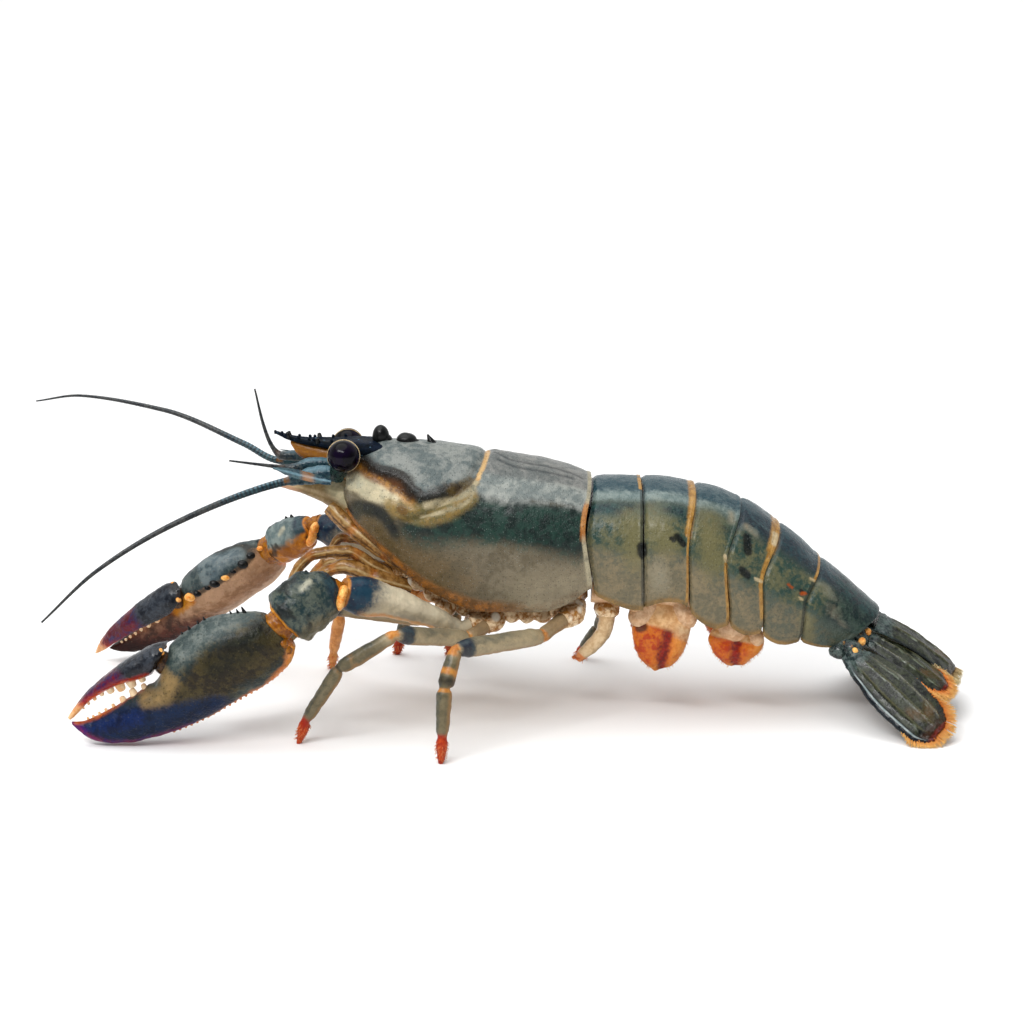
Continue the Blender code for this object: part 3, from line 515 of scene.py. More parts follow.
class Finish:
    """A material that is built up by expressions."""

    def __init__(self, name, specular=0.35, coat=0.0, coat_roughness=0.15):
        self.material = bpy.data.materials.new(name)
        self.material.use_nodes = True
        self.tree = self.material.node_tree
        self.shader = self.tree.nodes["Principled BSDF"]
        self.feed("Specular IOR Level", specular)
        self.feed("Coat Weight", coat)
        self.feed("Coat Roughness", coat_roughness)
        self.place = self.node("ShaderNodeTexCoord", {}, {}, "Object")

    def plug(self, socket, value):
        """Links a wire to a socket, or sets a constant on it."""
        if isinstance(value, Wire):
            self.tree.links.new(value.socket, socket)
        else:
            socket.default_value = value

    def feed(self, name, value):
        self.plug(self.shader.inputs[name], value)

    def node(self, kind, settings, values, output=0):
        """Adds a node: its settings first, then the values or links of its sockets."""
        made = self.tree.nodes.new(kind)
        for name, setting in settings.items():
            setattr(made, name, setting)
        for key, value in values.items():
            self.plug(made.inputs[key], value)
        return Wire(self, made.outputs[output])

    def paint(self, name):
        return self.node("ShaderNodeAttribute", {"attribute_name": name}, {}, "Fac")

    def step(self, value, low, high):
        """A soft step from 0 at low to 1 at high."""
        return self.node("ShaderNodeMapRange", {"interpolation_type": "SMOOTHSTEP"},
                         {"Value": value, "From Min": low, "From Max": high})

    def cloud(self, width, detail=4.0, low=0.38, high=0.62, warp=0.0):
        """Noise from 0 to 1 whose lumps are about as wide as given, in millimetres."""
        value = self.node("ShaderNodeTexNoise", {}, {
            "Vector": self.place, "Scale": 1 / (width * MM), "Detail": detail, "Roughness": 0.6,
            "Distortion": warp})
        return self.step(value, low, high)

    def grains(self, width, size, share):
        """Round grains about as far apart as width, each size across, on a share of the places."""
        cells = {"Vector": self.place, "Scale": 1 / (width * MM), "Randomness": 1.0}
        near = self.node("ShaderNodeTexVoronoi", {"feature": "F1"}, cells, "Distance")
        pick = self.node("ShaderNodeTexVoronoi", {"feature": "F1"}, cells, "Color")
        chosen = self.node("ShaderNodeSeparateColor", {}, {"Color": pick}, "Red")
        return (1 - self.step(near, size * 0.5, size)) * self.step(1 - chosen, 1 - share, 1.01 - share)

    def mix(self, factor, first, second):
        return self.node("ShaderNodeMix", {"data_type": "RGBA"}, {0: factor, 6: first, 7: second}, 2)

    def bump(self, height, depth):
        """Relief of the given depth in millimetres, from a height of 0 to 1."""
        self.feed("Normal", self.node("ShaderNodeBump", {}, {
            "Height": height, "Distance": depth * MM, "Strength": 1.0}))


def layered(name, ground, layers, gloss=(0.26, 0.44), grain=(0.5, 0.05), speckle=None, pits=None,
            cloud_width=5.0, specular=0.2, coat=0.06):
    """A shell finish: a clouded ground, painted layers over it, fine grains and a damp gloss.

    Ground is two colours. Each layer is a paint's name, two colours that cloud into each other and,
    where it only tints what lies below, its strength. Gloss is the least and most roughness. Grain is
    the width and depth of the relief. Speckle and pits are dots: a colour, how far apart, their size,
    the share of the places and their strength.
    """
    finish = Finish(name, specular, coat)
    wide = finish.cloud(cloud_width, 5.0, warp=0.3)
    middle = finish.cloud(cloud_width * 0.3)
    fine = finish.cloud(0.5, 3.0, 0.3, 0.7)
    both = finish.step(wide * 0.55 + middle * 0.45, 0.1, 0.9)
    colour = finish.mix(both, linear(*ground[0]), linear(*ground[1]))
    torn = (wide * 0.3 + middle * 0.45 + fine * 0.25 - 0.5) * TORN_EDGE
    for paint, first, second, *strength in layers:
        mask = finish.paint(paint)
        edge = finish.step(mask + torn * finish.step(mask * (1 - mask), 0.0, 0.2), 0.02, 0.98)
        if strength:
            edge = edge * strength[0]
        colour = finish.mix(edge, colour, finish.mix(both, linear(*first), linear(*second)))
    for dots, amount in ((speckle, middle), (pits, 1.0)):
        if dots:
            tint, width, size, share, strength = dots
            cover = finish.grains(width, size, share) * (strength * amount)
            colour = finish.mix(cover, colour, linear(*tint))
    finish.feed("Base Color", colour)
    finish.feed("Roughness", gloss[0] + (gloss[1] - gloss[0]) * (fine * 0.4 + middle * 0.6))
    knobs = finish.grains(grain[0], 0.55, 0.7)
    finish.bump(knobs * 0.4 + fine * 0.3 + middle * 0.3, grain[1])
    return finish.material


# Carapace paint: lines of place along X and part of the way round the flank
MASK_EDGE = ((-29.4, 0.18), (-28.2, 0.26), (-26.3, 0.375), (-24.5, 0.425), (-21.7, 0.43), (-18.8, 0.45),
             (-17.7, 0.52), (-14.9, 0.55), (-12.5, 0.51), (-10.1, 0.455), (-7.5, 0.415), (-5.4, 0.38),
             (-3.4, 0.27), (-1.9, 0.1))
NECK_LOW = ((-3.9, 0.33), (-5.0, 0.42), (-7.8, 0.49), (-10.4, 0.53), (-14.8, 0.59))
CHEEK_ARC = ((-6.0, 0.46), (-8.4, 0.53), (-11.5, 0.6), (-15.2, 0.66), (-18.6, 0.68), (-21.2, 0.7))
CHEEK_ORANGE = ((-28.4, 0.33), (-26.2, 0.46), (-22.6, 0.53), (-19.8, 0.55), (-18.4, 0.6))
CHEEK_CREAM = ((-31.8, 0.46), (-29.0, 0.58), (-26.4, 0.65), (-23.6, 0.62), (-21.0, 0.59))
# The groove below the cream cheek; the dark paint along it is painted shade in the groove
SHADED_GROOVE = ((-31.4, 0.97), (-28.8, 0.82), (-25.8, 0.79), (-23.4, 0.79), (-21.4, 0.83))
PALE_TOP = ((-1.9, 0.5), (3.0, 0.52), (7.0, 0.49), (13.1, 0.48), (18.5, 0.51))
TEAL_LOW = ((-24.0, 0.86), (-15.9, 0.8), (-11.5, 0.77), (-5.4, 0.71), (0.7, 0.7), (8.9, 0.72),
            (14.0, 0.76), (17.4, 0.79))
# Paints that are one stroke each: the line, its half width and its soft width
CARAPACE_STROKES = {
    "olive_patch": (((-9.0, 0.445), (-6.2, 0.405), (-4.8, 0.36)), 1.3, 0.8),
    "neck": (((-1.9, 0.0), (-2.3, 0.15), (-2.9, 0.24), (-3.9, 0.33)), 0.55, 0.35),
    "arc": (CHEEK_ARC, 2.2, 1.2),
    "cheek_orange": (CHEEK_ORANGE, 1.7, 1.6),
    # Painted shadow cast by the ridge at the mask's lower edge onto the cheek
    "cheek_ridge_shadow": (((-26.4, 0.42), (-22.8, 0.475), (-19.6, 0.5), (-18.0, 0.56)), 1.3, 1.3),
    "cheek_cream": (CHEEK_CREAM, 3.0, 1.8),
    # Painted shade in the groove below the cream cheek
    "groove_shade": (SHADED_GROOVE, 1.5, 1.3),
    "tan_spot": (((-19.3, 0.68), (-19.6, 0.69)), 1.0, 0.7),
}
BACK_LINE_HIGH = (((-0.4, 0.04), (3.0, 0.12), (7.0, 0.135), (12.5, 0.12), (18.0, 0.14)), 0.4, 0.35)
BACK_LINE_LOW = (((0.4, 0.14), (3.5, 0.19), (9.0, 0.2), (16.0, 0.19)), 0.45, 0.45)


def shell_angles(count, under):
    """The angle of each point round a shell, and for the underside how far across it lies."""
    over = np.linspace(-EDGE_ANGLE, EDGE_ANGLE, count)
    below = np.linspace(UNDER_WIDTH, -UNDER_WIDTH, under)
    angles = np.concatenate((over, np.full(under, EDGE_ANGLE), over[:1]))
    inside = np.concatenate((np.full(count, 2.0), below, (2.0,)))
    return angles, inside


def arch(top, low, half, rise, angles, inside):
    """Sideways and upward places of points round a hollow shell."""
    waist = low + (top - low) * WAIST
    lift = np.cos(angles)
    up = np.where(lift >= 0, waist + (top - waist) * lift,
                  waist - (waist - low) * lift / math.cos(EDGE_ANGLE))
    hollow = low + rise * np.where(np.abs(inside) > UNDER_STEP, UNDER_LIFT, 1.0)
    under = inside < 1.5
    up = np.where(under, hollow, up)
    side = np.where(under, half * math.sin(EDGE_ANGLE) * inside, half * np.sin(angles))
    return side, up


def flank_bow(angles):
    """How much a rear edge bows forward at an angle: most on the flank, none on the back."""
    return np.sin(math.pi * (np.abs(angles) / EDGE_ANGLE) ** BOW_SWEEP) ** 2


def carapace_shield(material):
    angles, inside = shell_angles(181, 9)
    first, last = CARAPACE[0][0], CARAPACE[-1][0]
    x = np.concatenate((np.linspace(first, -29.0, 14)[:-1], np.linspace(-29.0, last, 176)))[:, None]
    reach = np.where(x < GROOVE_X, (x - first) / (GROOVE_X - first), (last - x) / (last - GROOVE_X))
    lean = np.sin(np.clip(reach, 0, 1) * math.pi / 2) ** 1.5 * GROOVE_SWEEP
    rear = np.clip((x - GROOVE_X) / (last - GROOVE_X), 0, 1)
    across = np.minimum(1.0, np.abs(angles) / (math.pi / 2))
    place = x - lean * across**2 - REAR_BOW * rear**3 * flank_bow(angles)
    flank = np.abs(angles) / EDGE_ANGLE
    top, low, half = np.moveaxis(follow(CARAPACE, place), -1, 0)
    furrow = GROOVE_DEPTH * np.exp(-(((x - GROOVE_X) / GROOVE_WIDTH) ** 2)) * (1 - smooth(0.74, 0.84, flank))
    y, z = arch(top - furrow, low, half - furrow, CARAPACE_RISE, angles, inside)
    points = np.stack((place, y, z), axis=-1)
    under = inside < 1.5

    def stroke(line, half, soft):
        return brush(place, flank * FLANK_MM, [(u, v * FLANK_MM) for u, v in line], half, soft)

    def below(line):
        """How far below a line each point lies, as a part of the way round the flank."""
        return flank - np.interp(place, *zip(*line))

    behind = smooth(GROOVE_X - 0.6, GROOVE_X + 0.6, x)
    # The dark line along the mask's lower edge: partly the shell's own dark brown marking, partly painted
    # shadow under the ridge there
    mask_edge = (
        stroke(MASK_EDGE[:6], 0.9, 0.8), stroke(MASK_EDGE[1:5], 1.6, 1.2),
        stroke([(u, v - 0.035) for u, v in MASK_EDGE[:8]], 0.5, 0.5) * 0.9,
        stroke(MASK_EDGE[4:10], 1.5, 1.3) * 0.85, stroke(MASK_EDGE[9:], 0.4, 0.5) * 0.7)
    neck_fold = [(u - 0.6, v + 0.075) for u, v in NECK_LOW]
    paints = {name: stroke(*mark) for name, mark in CARAPACE_STROKES.items()}
    paints.update({
        "mask": (1 - smooth(-0.02, 0.02, below(MASK_EDGE))) * smooth(-30.6, -29.0, place)
                * (1 - smooth(-2.6, -1.8, place)),
        "mask_edge": np.maximum.reduce(mask_edge),
        "neck_low": np.maximum(stroke(NECK_LOW, 0.6, 0.6), stroke(neck_fold, 0.35, 0.5)),
        "cheek_cool": stroke(CHEEK_CREAM[:2], 1.6, 1.6) * 0.6,
        "pale_back": behind * (1 - smooth(-0.09, 0.02, below(PALE_TOP))),
        # A painted highlight: the sheen of the top light along the upper flank of the back
        "back_sheen": behind * smooth(0.24, 0.34, flank) * (1 - smooth(-0.1, -0.01, below(PALE_TOP))),
        "back_lines": np.maximum(stroke(*BACK_LINE_HIGH), stroke(*BACK_LINE_LOW)),
        "teal": smooth(-24.0, -17.0, place) * smooth(0.4, 0.48, flank)
                * (1 - smooth(-0.06, 0.1, below(TEAL_LOW))),
        "warm_low": (1 - smooth(-16.0, 4.0, place)) * smooth(0.72, 0.9, flank),
        "pale_low": smooth(-8.0, 12.0, place) * smooth(0.74, 0.9, flank),
        "rim": smooth(18.85, 19.3, x),
        "rim_orange": smooth(18.6, 19.0, x) * smooth(0.34, 0.46, flank) * (1 - smooth(0.62, 0.76, flank)),
        "edge": smooth(0.93, 0.98, flank) * (1 - smooth(-6.0, 10.0, place) * 0.75),
        "below": under * 1.0,
    })
    height = (lumps(points, 7.0, 0.16, 1.6, 0.045)
              + 0.12 * stroke(MASK_EDGE[1:8], 0.9, 0.9) - 0.45 * stroke(CHEEK_CREAM, 3.4, 2.4)
              - 0.3 * stroke(CHEEK_ORANGE, 1.4, 1.0) + 0.35 * stroke(CHEEK_ARC, 1.6, 1.5)
              - 0.35 * stroke(NECK_LOW, 0.8, 0.7) - 0.3 * stroke(SHADED_GROOVE, 1.2, 1.2)
              - 0.12 * paints["back_lines"]
              + 0.25 * smooth(18.9, 19.3, x) + 0.12 * stripe(flank, 0.985, 0.012, 0.012))
    return skin("carapace_shield", raised(points, np.where(under, 0.0, height)), paints, material)


def bar(table, count, sides, power, trough=0.0):
    """A rounded bar across the body between a top and a low line, with a hollow along its top.

    Gives its points, the place of each along the bar and how far it faces up.
    """
    first, last = table[0][0], table[-1][0]
    x = np.linspace(first, last, count)[:, None]
    angles = np.linspace(0, math.tau, sides + 1)
    top, low, half = follow(table, x[:, 0]).T[..., None]
    sine, cosine = np.sin(angles), np.cos(angles)
    y = half * np.sign(sine) * np.abs(sine) ** power
    z = (top + low) / 2 + (top - low) / 2 * np.sign(cosine) * np.abs(cosine) ** power
    z = z - trough * np.clip(cosine, 0, 1) ** 6 * smooth(0.5, 2.0, half)
    return np.stack((x + 0 * y, y, z), axis=-1), (x - first) / (last - first), cosine


def worn(points):
    """Points with the fine relief of a worn shell."""
    return raised(points, rough(points, 1.6) * 0.09)


def make_carapace(looks):
    blade, _, _ = bar(ROSTRUM, 70, 40, 0.85, 0.5)
    pieces = [carapace_shield(looks["carapace"]), skin("blade", worn(blade), {}, looks["rostrum"])]
    for x, radius, low, top in BACK_KNOBS:
        height = top - low
        dome, skirt = (radius * 1.25, radius * 1.2, height * 0.65), (radius, radius, height * 0.45)
        pieces.append(pebble((x - 0.1, 0.0, low + height * 0.35), dome, looks["spine"], UPWARD, 0.25, 32))
        pieces.append(pebble((x + radius * 0.7, 0.0, low + 0.1), skirt, looks["spine"], UPWARD, 0.2, 32))
    for x, y, z, radius, height, lean, blunt in SPINES:
        pieces.append(cone((x, y, z), (-lean, y * 0.25, height), radius, height, looks["spine"], blunt, 20))
    for x in ROSTRUM_BEADS:
        top, _, half = follow(ROSTRUM, x)
        for side in (NEAR, FAR):
            pieces.append(pebble((x, side * half * 0.75, top - 0.15), (0.4, 0.3, 0.4), looks["rostrum"],
                                 (-0.4, side * 0.3, 1.0), segments=10))
    dress("shell_back", pieces, "shell", "carapace")


def make_breast(looks):
    x = np.linspace(-31.6, 19.2, 120)
    drop, half = follow(BREAST, x).T
    low = follow(CARAPACE, x)[:, 1]
    top = low + CARAPACE_RISE * UNDER_LIFT - 0.3
    foot = low - drop
    inner = half * 0.62
    corners = ((-half * 0.8, top), (0 * x, top), (half * 0.8, top), (half, (top + low) / 2),
               (half * 0.95, low - drop * 0.35), (inner, foot), (0 * x, foot - 0.4), (-inner, foot),
               (-half * 0.95, low - drop * 0.35), (-half, (top + low) / 2), (-half * 0.8, top))
    ring = np.linspace(0, len(corners) - 1, 81)
    y, z = (np.stack([np.interp(ring, range(len(corners)), row) for row in np.stack(column, axis=-1)])
            for column in zip(*corners))
    points = np.stack((x[:, None] + 0 * y, y, z), axis=-1)
    grooves = np.sin(x * math.tau / 7.6)[:, None] ** 2
    height = 0.5 * grooves + rough(points, 2.2) * 0.35
    piece = skin("breast_plate", raised(points, height), {"groove": 1 - grooves}, looks["belly"])
    dress("breast_plate", [piece], "skin", "breast")


# Abdomen paint, as strokes with their half widths: place in rings and part of the way round the flank
RING_MARKS = {
    "gold": (
        (((0.965, 0.02), (0.97, 0.2)), 0.4), (((1.93, 0.0), (1.94, 0.3), (1.955, 0.56)), 0.75),
        (((1.975, 0.56), (1.97, 0.8), (1.95, 1.0)), 0.3), (((2.985, 0.66), (2.97, 0.98)), 0.4),
        (((3.91, 0.0), (3.9, 0.2), (3.92, 0.4)), 1.15), (((3.93, 0.4), (3.955, 0.62), (3.965, 0.9)), 0.5),
        (((4.975, 0.0), (4.975, 0.3), (4.975, 0.42)), 0.3)),
    "dark_rim": (
        (((0.985, 0.2), (0.98, 0.45), (0.98, 0.66), (0.98, 0.98)), 0.35), (((1.02, 0.1), (1.02, 0.5)), 0.3),
        (((4.975, 0.44), (4.98, 0.98)), 0.35), (((3.97, 0.05), (3.98, 0.3)), 0.3)),
    "cream": (
        (((2.93, 0.6), (2.99, 0.64)), 0.4), (((3.9, 0.24), (3.93, 0.34)), 0.7),
        (((3.8, 0.66), (3.95, 0.67)), 0.45), (((4.86, 0.63), (4.9, 0.64)), 0.35),
        (((4.9, 0.42), (4.97, 0.42)), 0.3)),
    "dark": (
        (((0.97, 0.66), (0.985, 0.72)), 0.95), (((3.43, 0.65), (3.58, 0.66)), 1.05),
        (((3.3, 0.42), (3.42, 0.5)), 1.1), (((1.72, 0.6), (1.86, 0.64)), 0.9),
        (((1.6, 0.62), (1.64, 0.63)), 0.6), (((4.84, 0.56), (4.87, 0.57)), 0.5)),
    "brown": ((((4.56, 0.57), (4.64, 0.575)), 0.42), (((4.87, 0.59), (4.91, 0.57)), 0.5)),
    "olive": (
        (((0.78, 0.45), (0.84, 0.74)), 2.2), (((1.1, 0.45), (1.5, 0.66)), 3.2),
        (((2.35, 0.42), (2.6, 0.66)), 3.4), (((5.06, 0.8), (5.2, 0.95)), 1.5)),
    "pale": (
        (((1.3, 0.83), (1.36, 0.88)), 1.8), (((3.2, 0.34), (3.45, 0.36)), 0.8),
        (((5.2, 0.41), (5.3, 0.46)), 1.3), (((5.42, 0.55), (5.5, 0.64)), 1.2),
        (((5.62, 0.66), (5.7, 0.7)), 0.9), (((2.8, 0.28), (2.85, 0.34)), 0.8)),
}
# How softly these marks fade, as a part of their half width
RING_SOFTNESS = {"dark": 0.5, "olive": 1.3, "pale": 1.3}
# How much of the painted sheen and of the pale lobe each ring shows
RING_GLEAM = (1.0, 1.0, 0.7, 0.15, 0.0, 0.0)
RING_LOBE = (1.0, 1.0, 0.9, 0.85, 0.6, 0.25)


def make_abdomen(looks):
    angles, inside = shell_angles(141, 9)
    flank = np.abs(angles) / EDGE_ANGLE
    way = flank * FLANK_MM
    under = inside < 1.5
    table = [(k, *row) for k, row in enumerate(JOINTS)]
    for number in range(len(JOINTS) - 1):
        part = np.concatenate((np.linspace(JOINT_GAP, 0.1, 8)[:-1], np.linspace(0.1, 0.9, 44)[:-1],
                               np.linspace(0.9, 1 - JOINT_GAP, 9)))[:, None]
        place = number + part
        top_x, top_z, low_x, low_z, half, bow = follow(table, place[:, 0]).T[..., None]
        swell = np.sin(math.pi * part) ** 0.7
        down_x, down_z = low_x - top_x, low_z - top_z
        length = np.hypot(down_x, down_z)
        reach = length + LOBE_DROP[number] * swell
        crown = RING_CROWN * swell
        y, height = arch(reach + crown, 0.0 * reach, half + crown, RING_RISE, angles, inside)
        x = top_x + down_x / length * (reach - height) - bow * flank_bow(angles)
        z = top_z + down_z / length * (reach - height)
        points = np.stack((x, y, z), axis=-1)

        last = number == len(JOINTS) - 2
        gleam = RING_GLEAM[number]
        paints = {
            name: np.maximum.reduce([
                brush(place * RING_MM, way, [(u * RING_MM, v * FLANK_MM) for u, v in line], wide,
                      wide * RING_SOFTNESS.get(name, 0.6)) for line, wide in strokes])
            for name, strokes in RING_MARKS.items()}
        paints.update({
            "pale": paints["pale"] * (0.6 if last else 1.0),
            "top": 1 - smooth(0.2, 0.3, flank),
            "deep_top": stripe(way, 0.24 * FLANK_MM, 4.6, 3.4) * (number > 2),
            # A painted highlight band along the upper flank: the sheen of the top light
            "sheen_band": stripe(way, 0.275 * FLANK_MM, 1.5, 1.4) * gleam,
            "deep": smooth(0.3, 0.4, flank) * (1 - smooth(0.62, 0.8, flank)),
            "below_sheen_band": stripe(way, 0.4 * FLANK_MM, 1.8, 2.2) * gleam,
            "teal_end": smooth(0.1, 0.5, part) * (1 - smooth(0.62, 0.9, flank)) * last,
            "low": smooth(0.56, 0.9, flank + 0.04 * rough(points, 6.0)) * RING_LOBE[number],
            "edge": smooth(0.965, 0.98, flank),
            "below": under * 1.0,
        })
        tuck = 1 - smooth(0.02, 0.12, part)
        relief = (lumps(points, 5.0, 0.14, 1.4, 0.04) - RING_TUCK * tuck + 0.16 * smooth(0.9, 0.95, part)
                  + 0.25 * paints["pale"] * (number == 1) - 0.1 * paints["dark"])
        name = f"tail_ring_{number + 1}"
        piece = skin(name, raised(points, np.where(under, 0.0, relief)), paints, looks["ring"])
        dress(name, [piece], "ring_shell", f"abdomen_{number + 1}")


def limb(rows, count, sides, spread=1.0):
    """A round or oval limb along a path, the last two numbers of a row its half sizes.

    Gives its points, the place of each along the limb and how far it faces up.
    """
    rows = np.array(rows, float)
    reach = lengths(rows[:, :3])
    table = np.column_stack((reach, rows))
    part = np.linspace(0.0, 1.0, count) ** spread
    places = part * reach[-1]
    values = follow(table, places)
    along = unit(follow(table, places + 0.3)[:, :3] - follow(table, places - 0.3)[:, :3])
    sideways = unit(np.array((0.0, 1.0, 0.0)) - along * along[:, 1:2])
    upward = np.cross(sideways, along)
    angles = np.linspace(0, math.tau, sides + 1)
    points = (values[:, None, :3] + upward[:, None] * (values[:, 3:4] * np.cos(angles))[..., None]
              + sideways[:, None] * (values[:, -1:] * np.sin(angles))[..., None])
    shape = points.shape[:2]
    return points, np.broadcast_to(part[:, None], shape), np.broadcast_to(np.cos(angles), shape)


def soft_limb(name, rows, material, count, sides, lump, height):
    """A limb without paint, its lumps about as wide as given."""
    points, _, _ = limb(rows, count, sides)
    return skin(name, raised(points, rough(points, lump) * height), {}, material)


def sided(rows, side):
    return [(x, y * side, *rest) for x, y, *rest in rows]


def claw_frame(claw, side):
    """A claw's wrist, and its directions of length, rise and depth, each a millimetre of its tables."""
    wrist, tip, rise, _ = claw
    wrist, length = np.array(wrist), np.array(tip) - np.array(wrist)
    scale = np.linalg.norm(length) / PALM_REACH
    length = unit(length)
    rise = np.array(rise)
    rise = unit(rise - length * rise.dot(length))
    return wrist, length * scale, rise * scale, np.cross(length, rise) * side * scale


def claw_place(frame_of, x, rise, depth=0.0):
    wrist, length, up, thick = frame_of
    outer = np.multiply.outer
    return wrist + outer(x, length) + outer(rise, up) + outer(depth, thick)


# Claw paint: lines of place along the claw and rise across it, with half widths and soft widths
PALM_PAINT_NEAR = {
    "granular": (((4.0, -1.4), (9.0, -2.0), (14.0, -2.5), (19.0, -4.4), (23.0, -6.5)), 5.6, 3.2),
    "deep_middle": (((4.0, 0.6), (9.0, -0.6), (14.0, -0.6)), 2.6, 2.4),
    "cream": (((26.0, 2.4), (24.0, -0.2), (26.8, -2.4), (30.5, -1.8)), 1.7, 1.6),
    "blue": (((46.0, -3.6), (40.5, -5.0), (35.0, -5.6), (30.0, -7.6), (25.0, -9.6), (19.0, -10.8)), 4.6, 2.0),
    "navy": (((45.0, -3.0), (40.0, -3.8), (34.0, -4.4)), 1.6, 1.4),
    "purple": (((47.6, -1.0), (46.2, -4.8), (43.0, -8.0), (37.0, -10.4), (30.0, -11.6), (25.0, -12.0)),
               1.5, 1.2),
    "orange_edge": (((43.0, -9.4), (37.0, -11.6), (30.0, -12.8), (22.0, -12.6), (14.0, -11.6), (7.0, -10.7),
                     (1.0, -8.4), (-1.6, -5.0)), 1.5, 1.0),
    "orange_bite": (((31.0, 0.6), (36.4, -0.2), (42.0, -0.8), (46.4, -0.4)), 0.7, 0.6),
    "highlight": (((3.0, 4.8), (9.0, 6.2), (15.0, 5.2), (19.0, 3.4)), 1.7, 2.0),
    "dark": (((3.0, 2.2), (6.0, 1.6), (9.6, 2.2)), 1.0, 1.0),
    "gold": (((-2.4, -3.6), (-1.6, -6.0), (1.0, -8.4)), 1.0, 0.9),
}
PALM_PAINT_FAR = {
    "deep_middle": (((4.0, -1.0), (14.0, -1.0), (22.0, -2.0)), 2.6, 2.6),
    "cream": (((0.0, -7.6), (10.0, -9.0), (18.0, -9.0)), 2.4, 2.4),
    "navy": (((0.0, 4.4), (8.0, 5.2), (16.0, 5.4), (23.0, 4.6)), 0.5, 0.5),
    "purple": (((47.0, -1.2), (44.0, -3.8), (38.0, -5.0), (30.0, -5.0), (26.0, -6.0)), 5.4, 5.0),
    "orange_edge": (((-1.4, 0.0), (-1.4, -5.0)), 1.0, 0.9),
    "orange_bite": (((29.0, 0.6), (36.4, -0.2), (42.0, -0.8)), 0.3, 0.4),
    "highlight": (((3.0, 6.2), (9.0, 7.4), (15.0, 6.6)), 0.9, 0.9),
    "dark": (((28.0, -10.0), (34.0, -8.6), (40.0, -6.6), (46.0, -2.6)), 3.8, 2.6),
    "gold": (((21.6, 4.0), (25.0, 2.4), (28.0, 0.8)), 1.0, 0.8),
}
FINGER_PAINT = {
    "top": (((22.0, 6.4), (29.0, 7.0), (35.0, 6.0), (41.0, 4.6), (45.0, 2.6)), 1.5, 1.4),
    "magenta": (((35.0, 4.6), (38.0, 3.8), (42.0, 2.6), (45.6, 1.4)), 1.9, 1.8),
    "red": (((29.0, 1.8), (35.0, 2.6), (41.0, 2.0), (45.6, 1.0)), 1.5, 1.1),
    "tip": (((45.0, 1.2), (48.4, 0.4)), 1.6, 1.6),
    "hinge": (((22.6, 6.6), (24.6, 4.4), (26.6, 2.6)), 0.5, 0.5),
}
PALM_FURROW = (((22.6, 4.6), (25.4, 2.2), (28.4, 0.6)), 0.7, 0.7)
# Teeth and knobs along an edge: place along the claw, radius and height
PALM_TEETH = ((30.6, 0.7, 0.9), (33.2, 0.95, 1.3), (35.8, 0.8, 1.0), (38.2, 0.45, 0.6), (40.0, 0.4, 0.5),
              (41.6, 0.4, 0.5), (43.0, 0.35, 0.4), (44.2, 0.3, 0.4))
FINGER_TEETH = ((30.2, 0.9, 0.9), (32.6, 1.15, 1.4), (35.0, 1.2, 1.6), (37.2, 1.0, 1.2), (39.2, 0.6, 0.7),
                (41.0, 0.5, 0.6), (42.6, 0.4, 0.5), (44.0, 0.3, 0.4))
PALM_SAW = [(2.0 + 1.3 * k, 0.4, 0.3) for k in range(22)]
PALM_KNOBS = ((4.8, 0.5, 1.2), (6.0, 0.35, 0.7), (7.4, 0.3, 0.6), (12.9, 0.45, 0.9), (14.4, 0.35, 0.7),
              (16.6, 0.4, 0.8), (18.4, 0.35, 0.6))
# The row of knobs on the far palm: its line of place along and rise, and the places of its knobs
FAR_RIDGE = ((-2.0, 3.8), (6.0, 4.9), (14.0, 5.4), (22.0, 4.8), (28.0, 3.0))
FAR_KNOBS = (0.4, 3.0, 5.4, 8.2, 10.6, 13.4, 15.6, 18.6, 20.8)


def claw_grid(rows, paint_table, frame_of, count, sides, stretch):
    """A palm or finger: its points, their place in the claw's own length, rise and depth, its paints."""
    hinge = rows[0][0]
    table = [(k, *row) for k, row in enumerate(rows)]
    values = follow(table, np.linspace(0.0, len(rows) - 1.0, count))
    low_x, low_z, up_x, up_z, half = values.T[..., None]
    angles = np.linspace(0, math.tau, sides + 1)
    cosine, sine = np.cos(angles), np.sin(angles)
    x = (low_x + up_x) / 2 + (up_x - low_x) / 2 * cosine
    z = (low_z + up_z) / 2 + (up_z - low_z) / 2 * cosine
    depth = half * sine * np.where(sine > 0, BACK_FULLNESS, BELLY_FULLNESS)
    points = claw_place(frame_of, hinge + (x - hinge) * stretch, z, depth)
    return points, x, z, depth, {name: brush(x, z, *mark) for name, mark in paint_table.items()}


def edge_cones(frame_of, rows, teeth, upward, material, blunt, stretch=1.0, column=2):
    """Teeth or knobs along the edge of a palm or finger that starts at a column of its rows."""
    table = [row[column:column + 2] for row in rows]
    hinge = rows[0][0]
    made = []
    for place, radius, height in teeth:
        edge = float(follow(table, place)[0])
        foot = claw_place(frame_of, hinge + (place - hinge) * stretch, edge - upward * height * 0.3)
        made.append(cone(foot, frame_of[2] * upward, radius, height * 1.3, material, blunt))
    return made


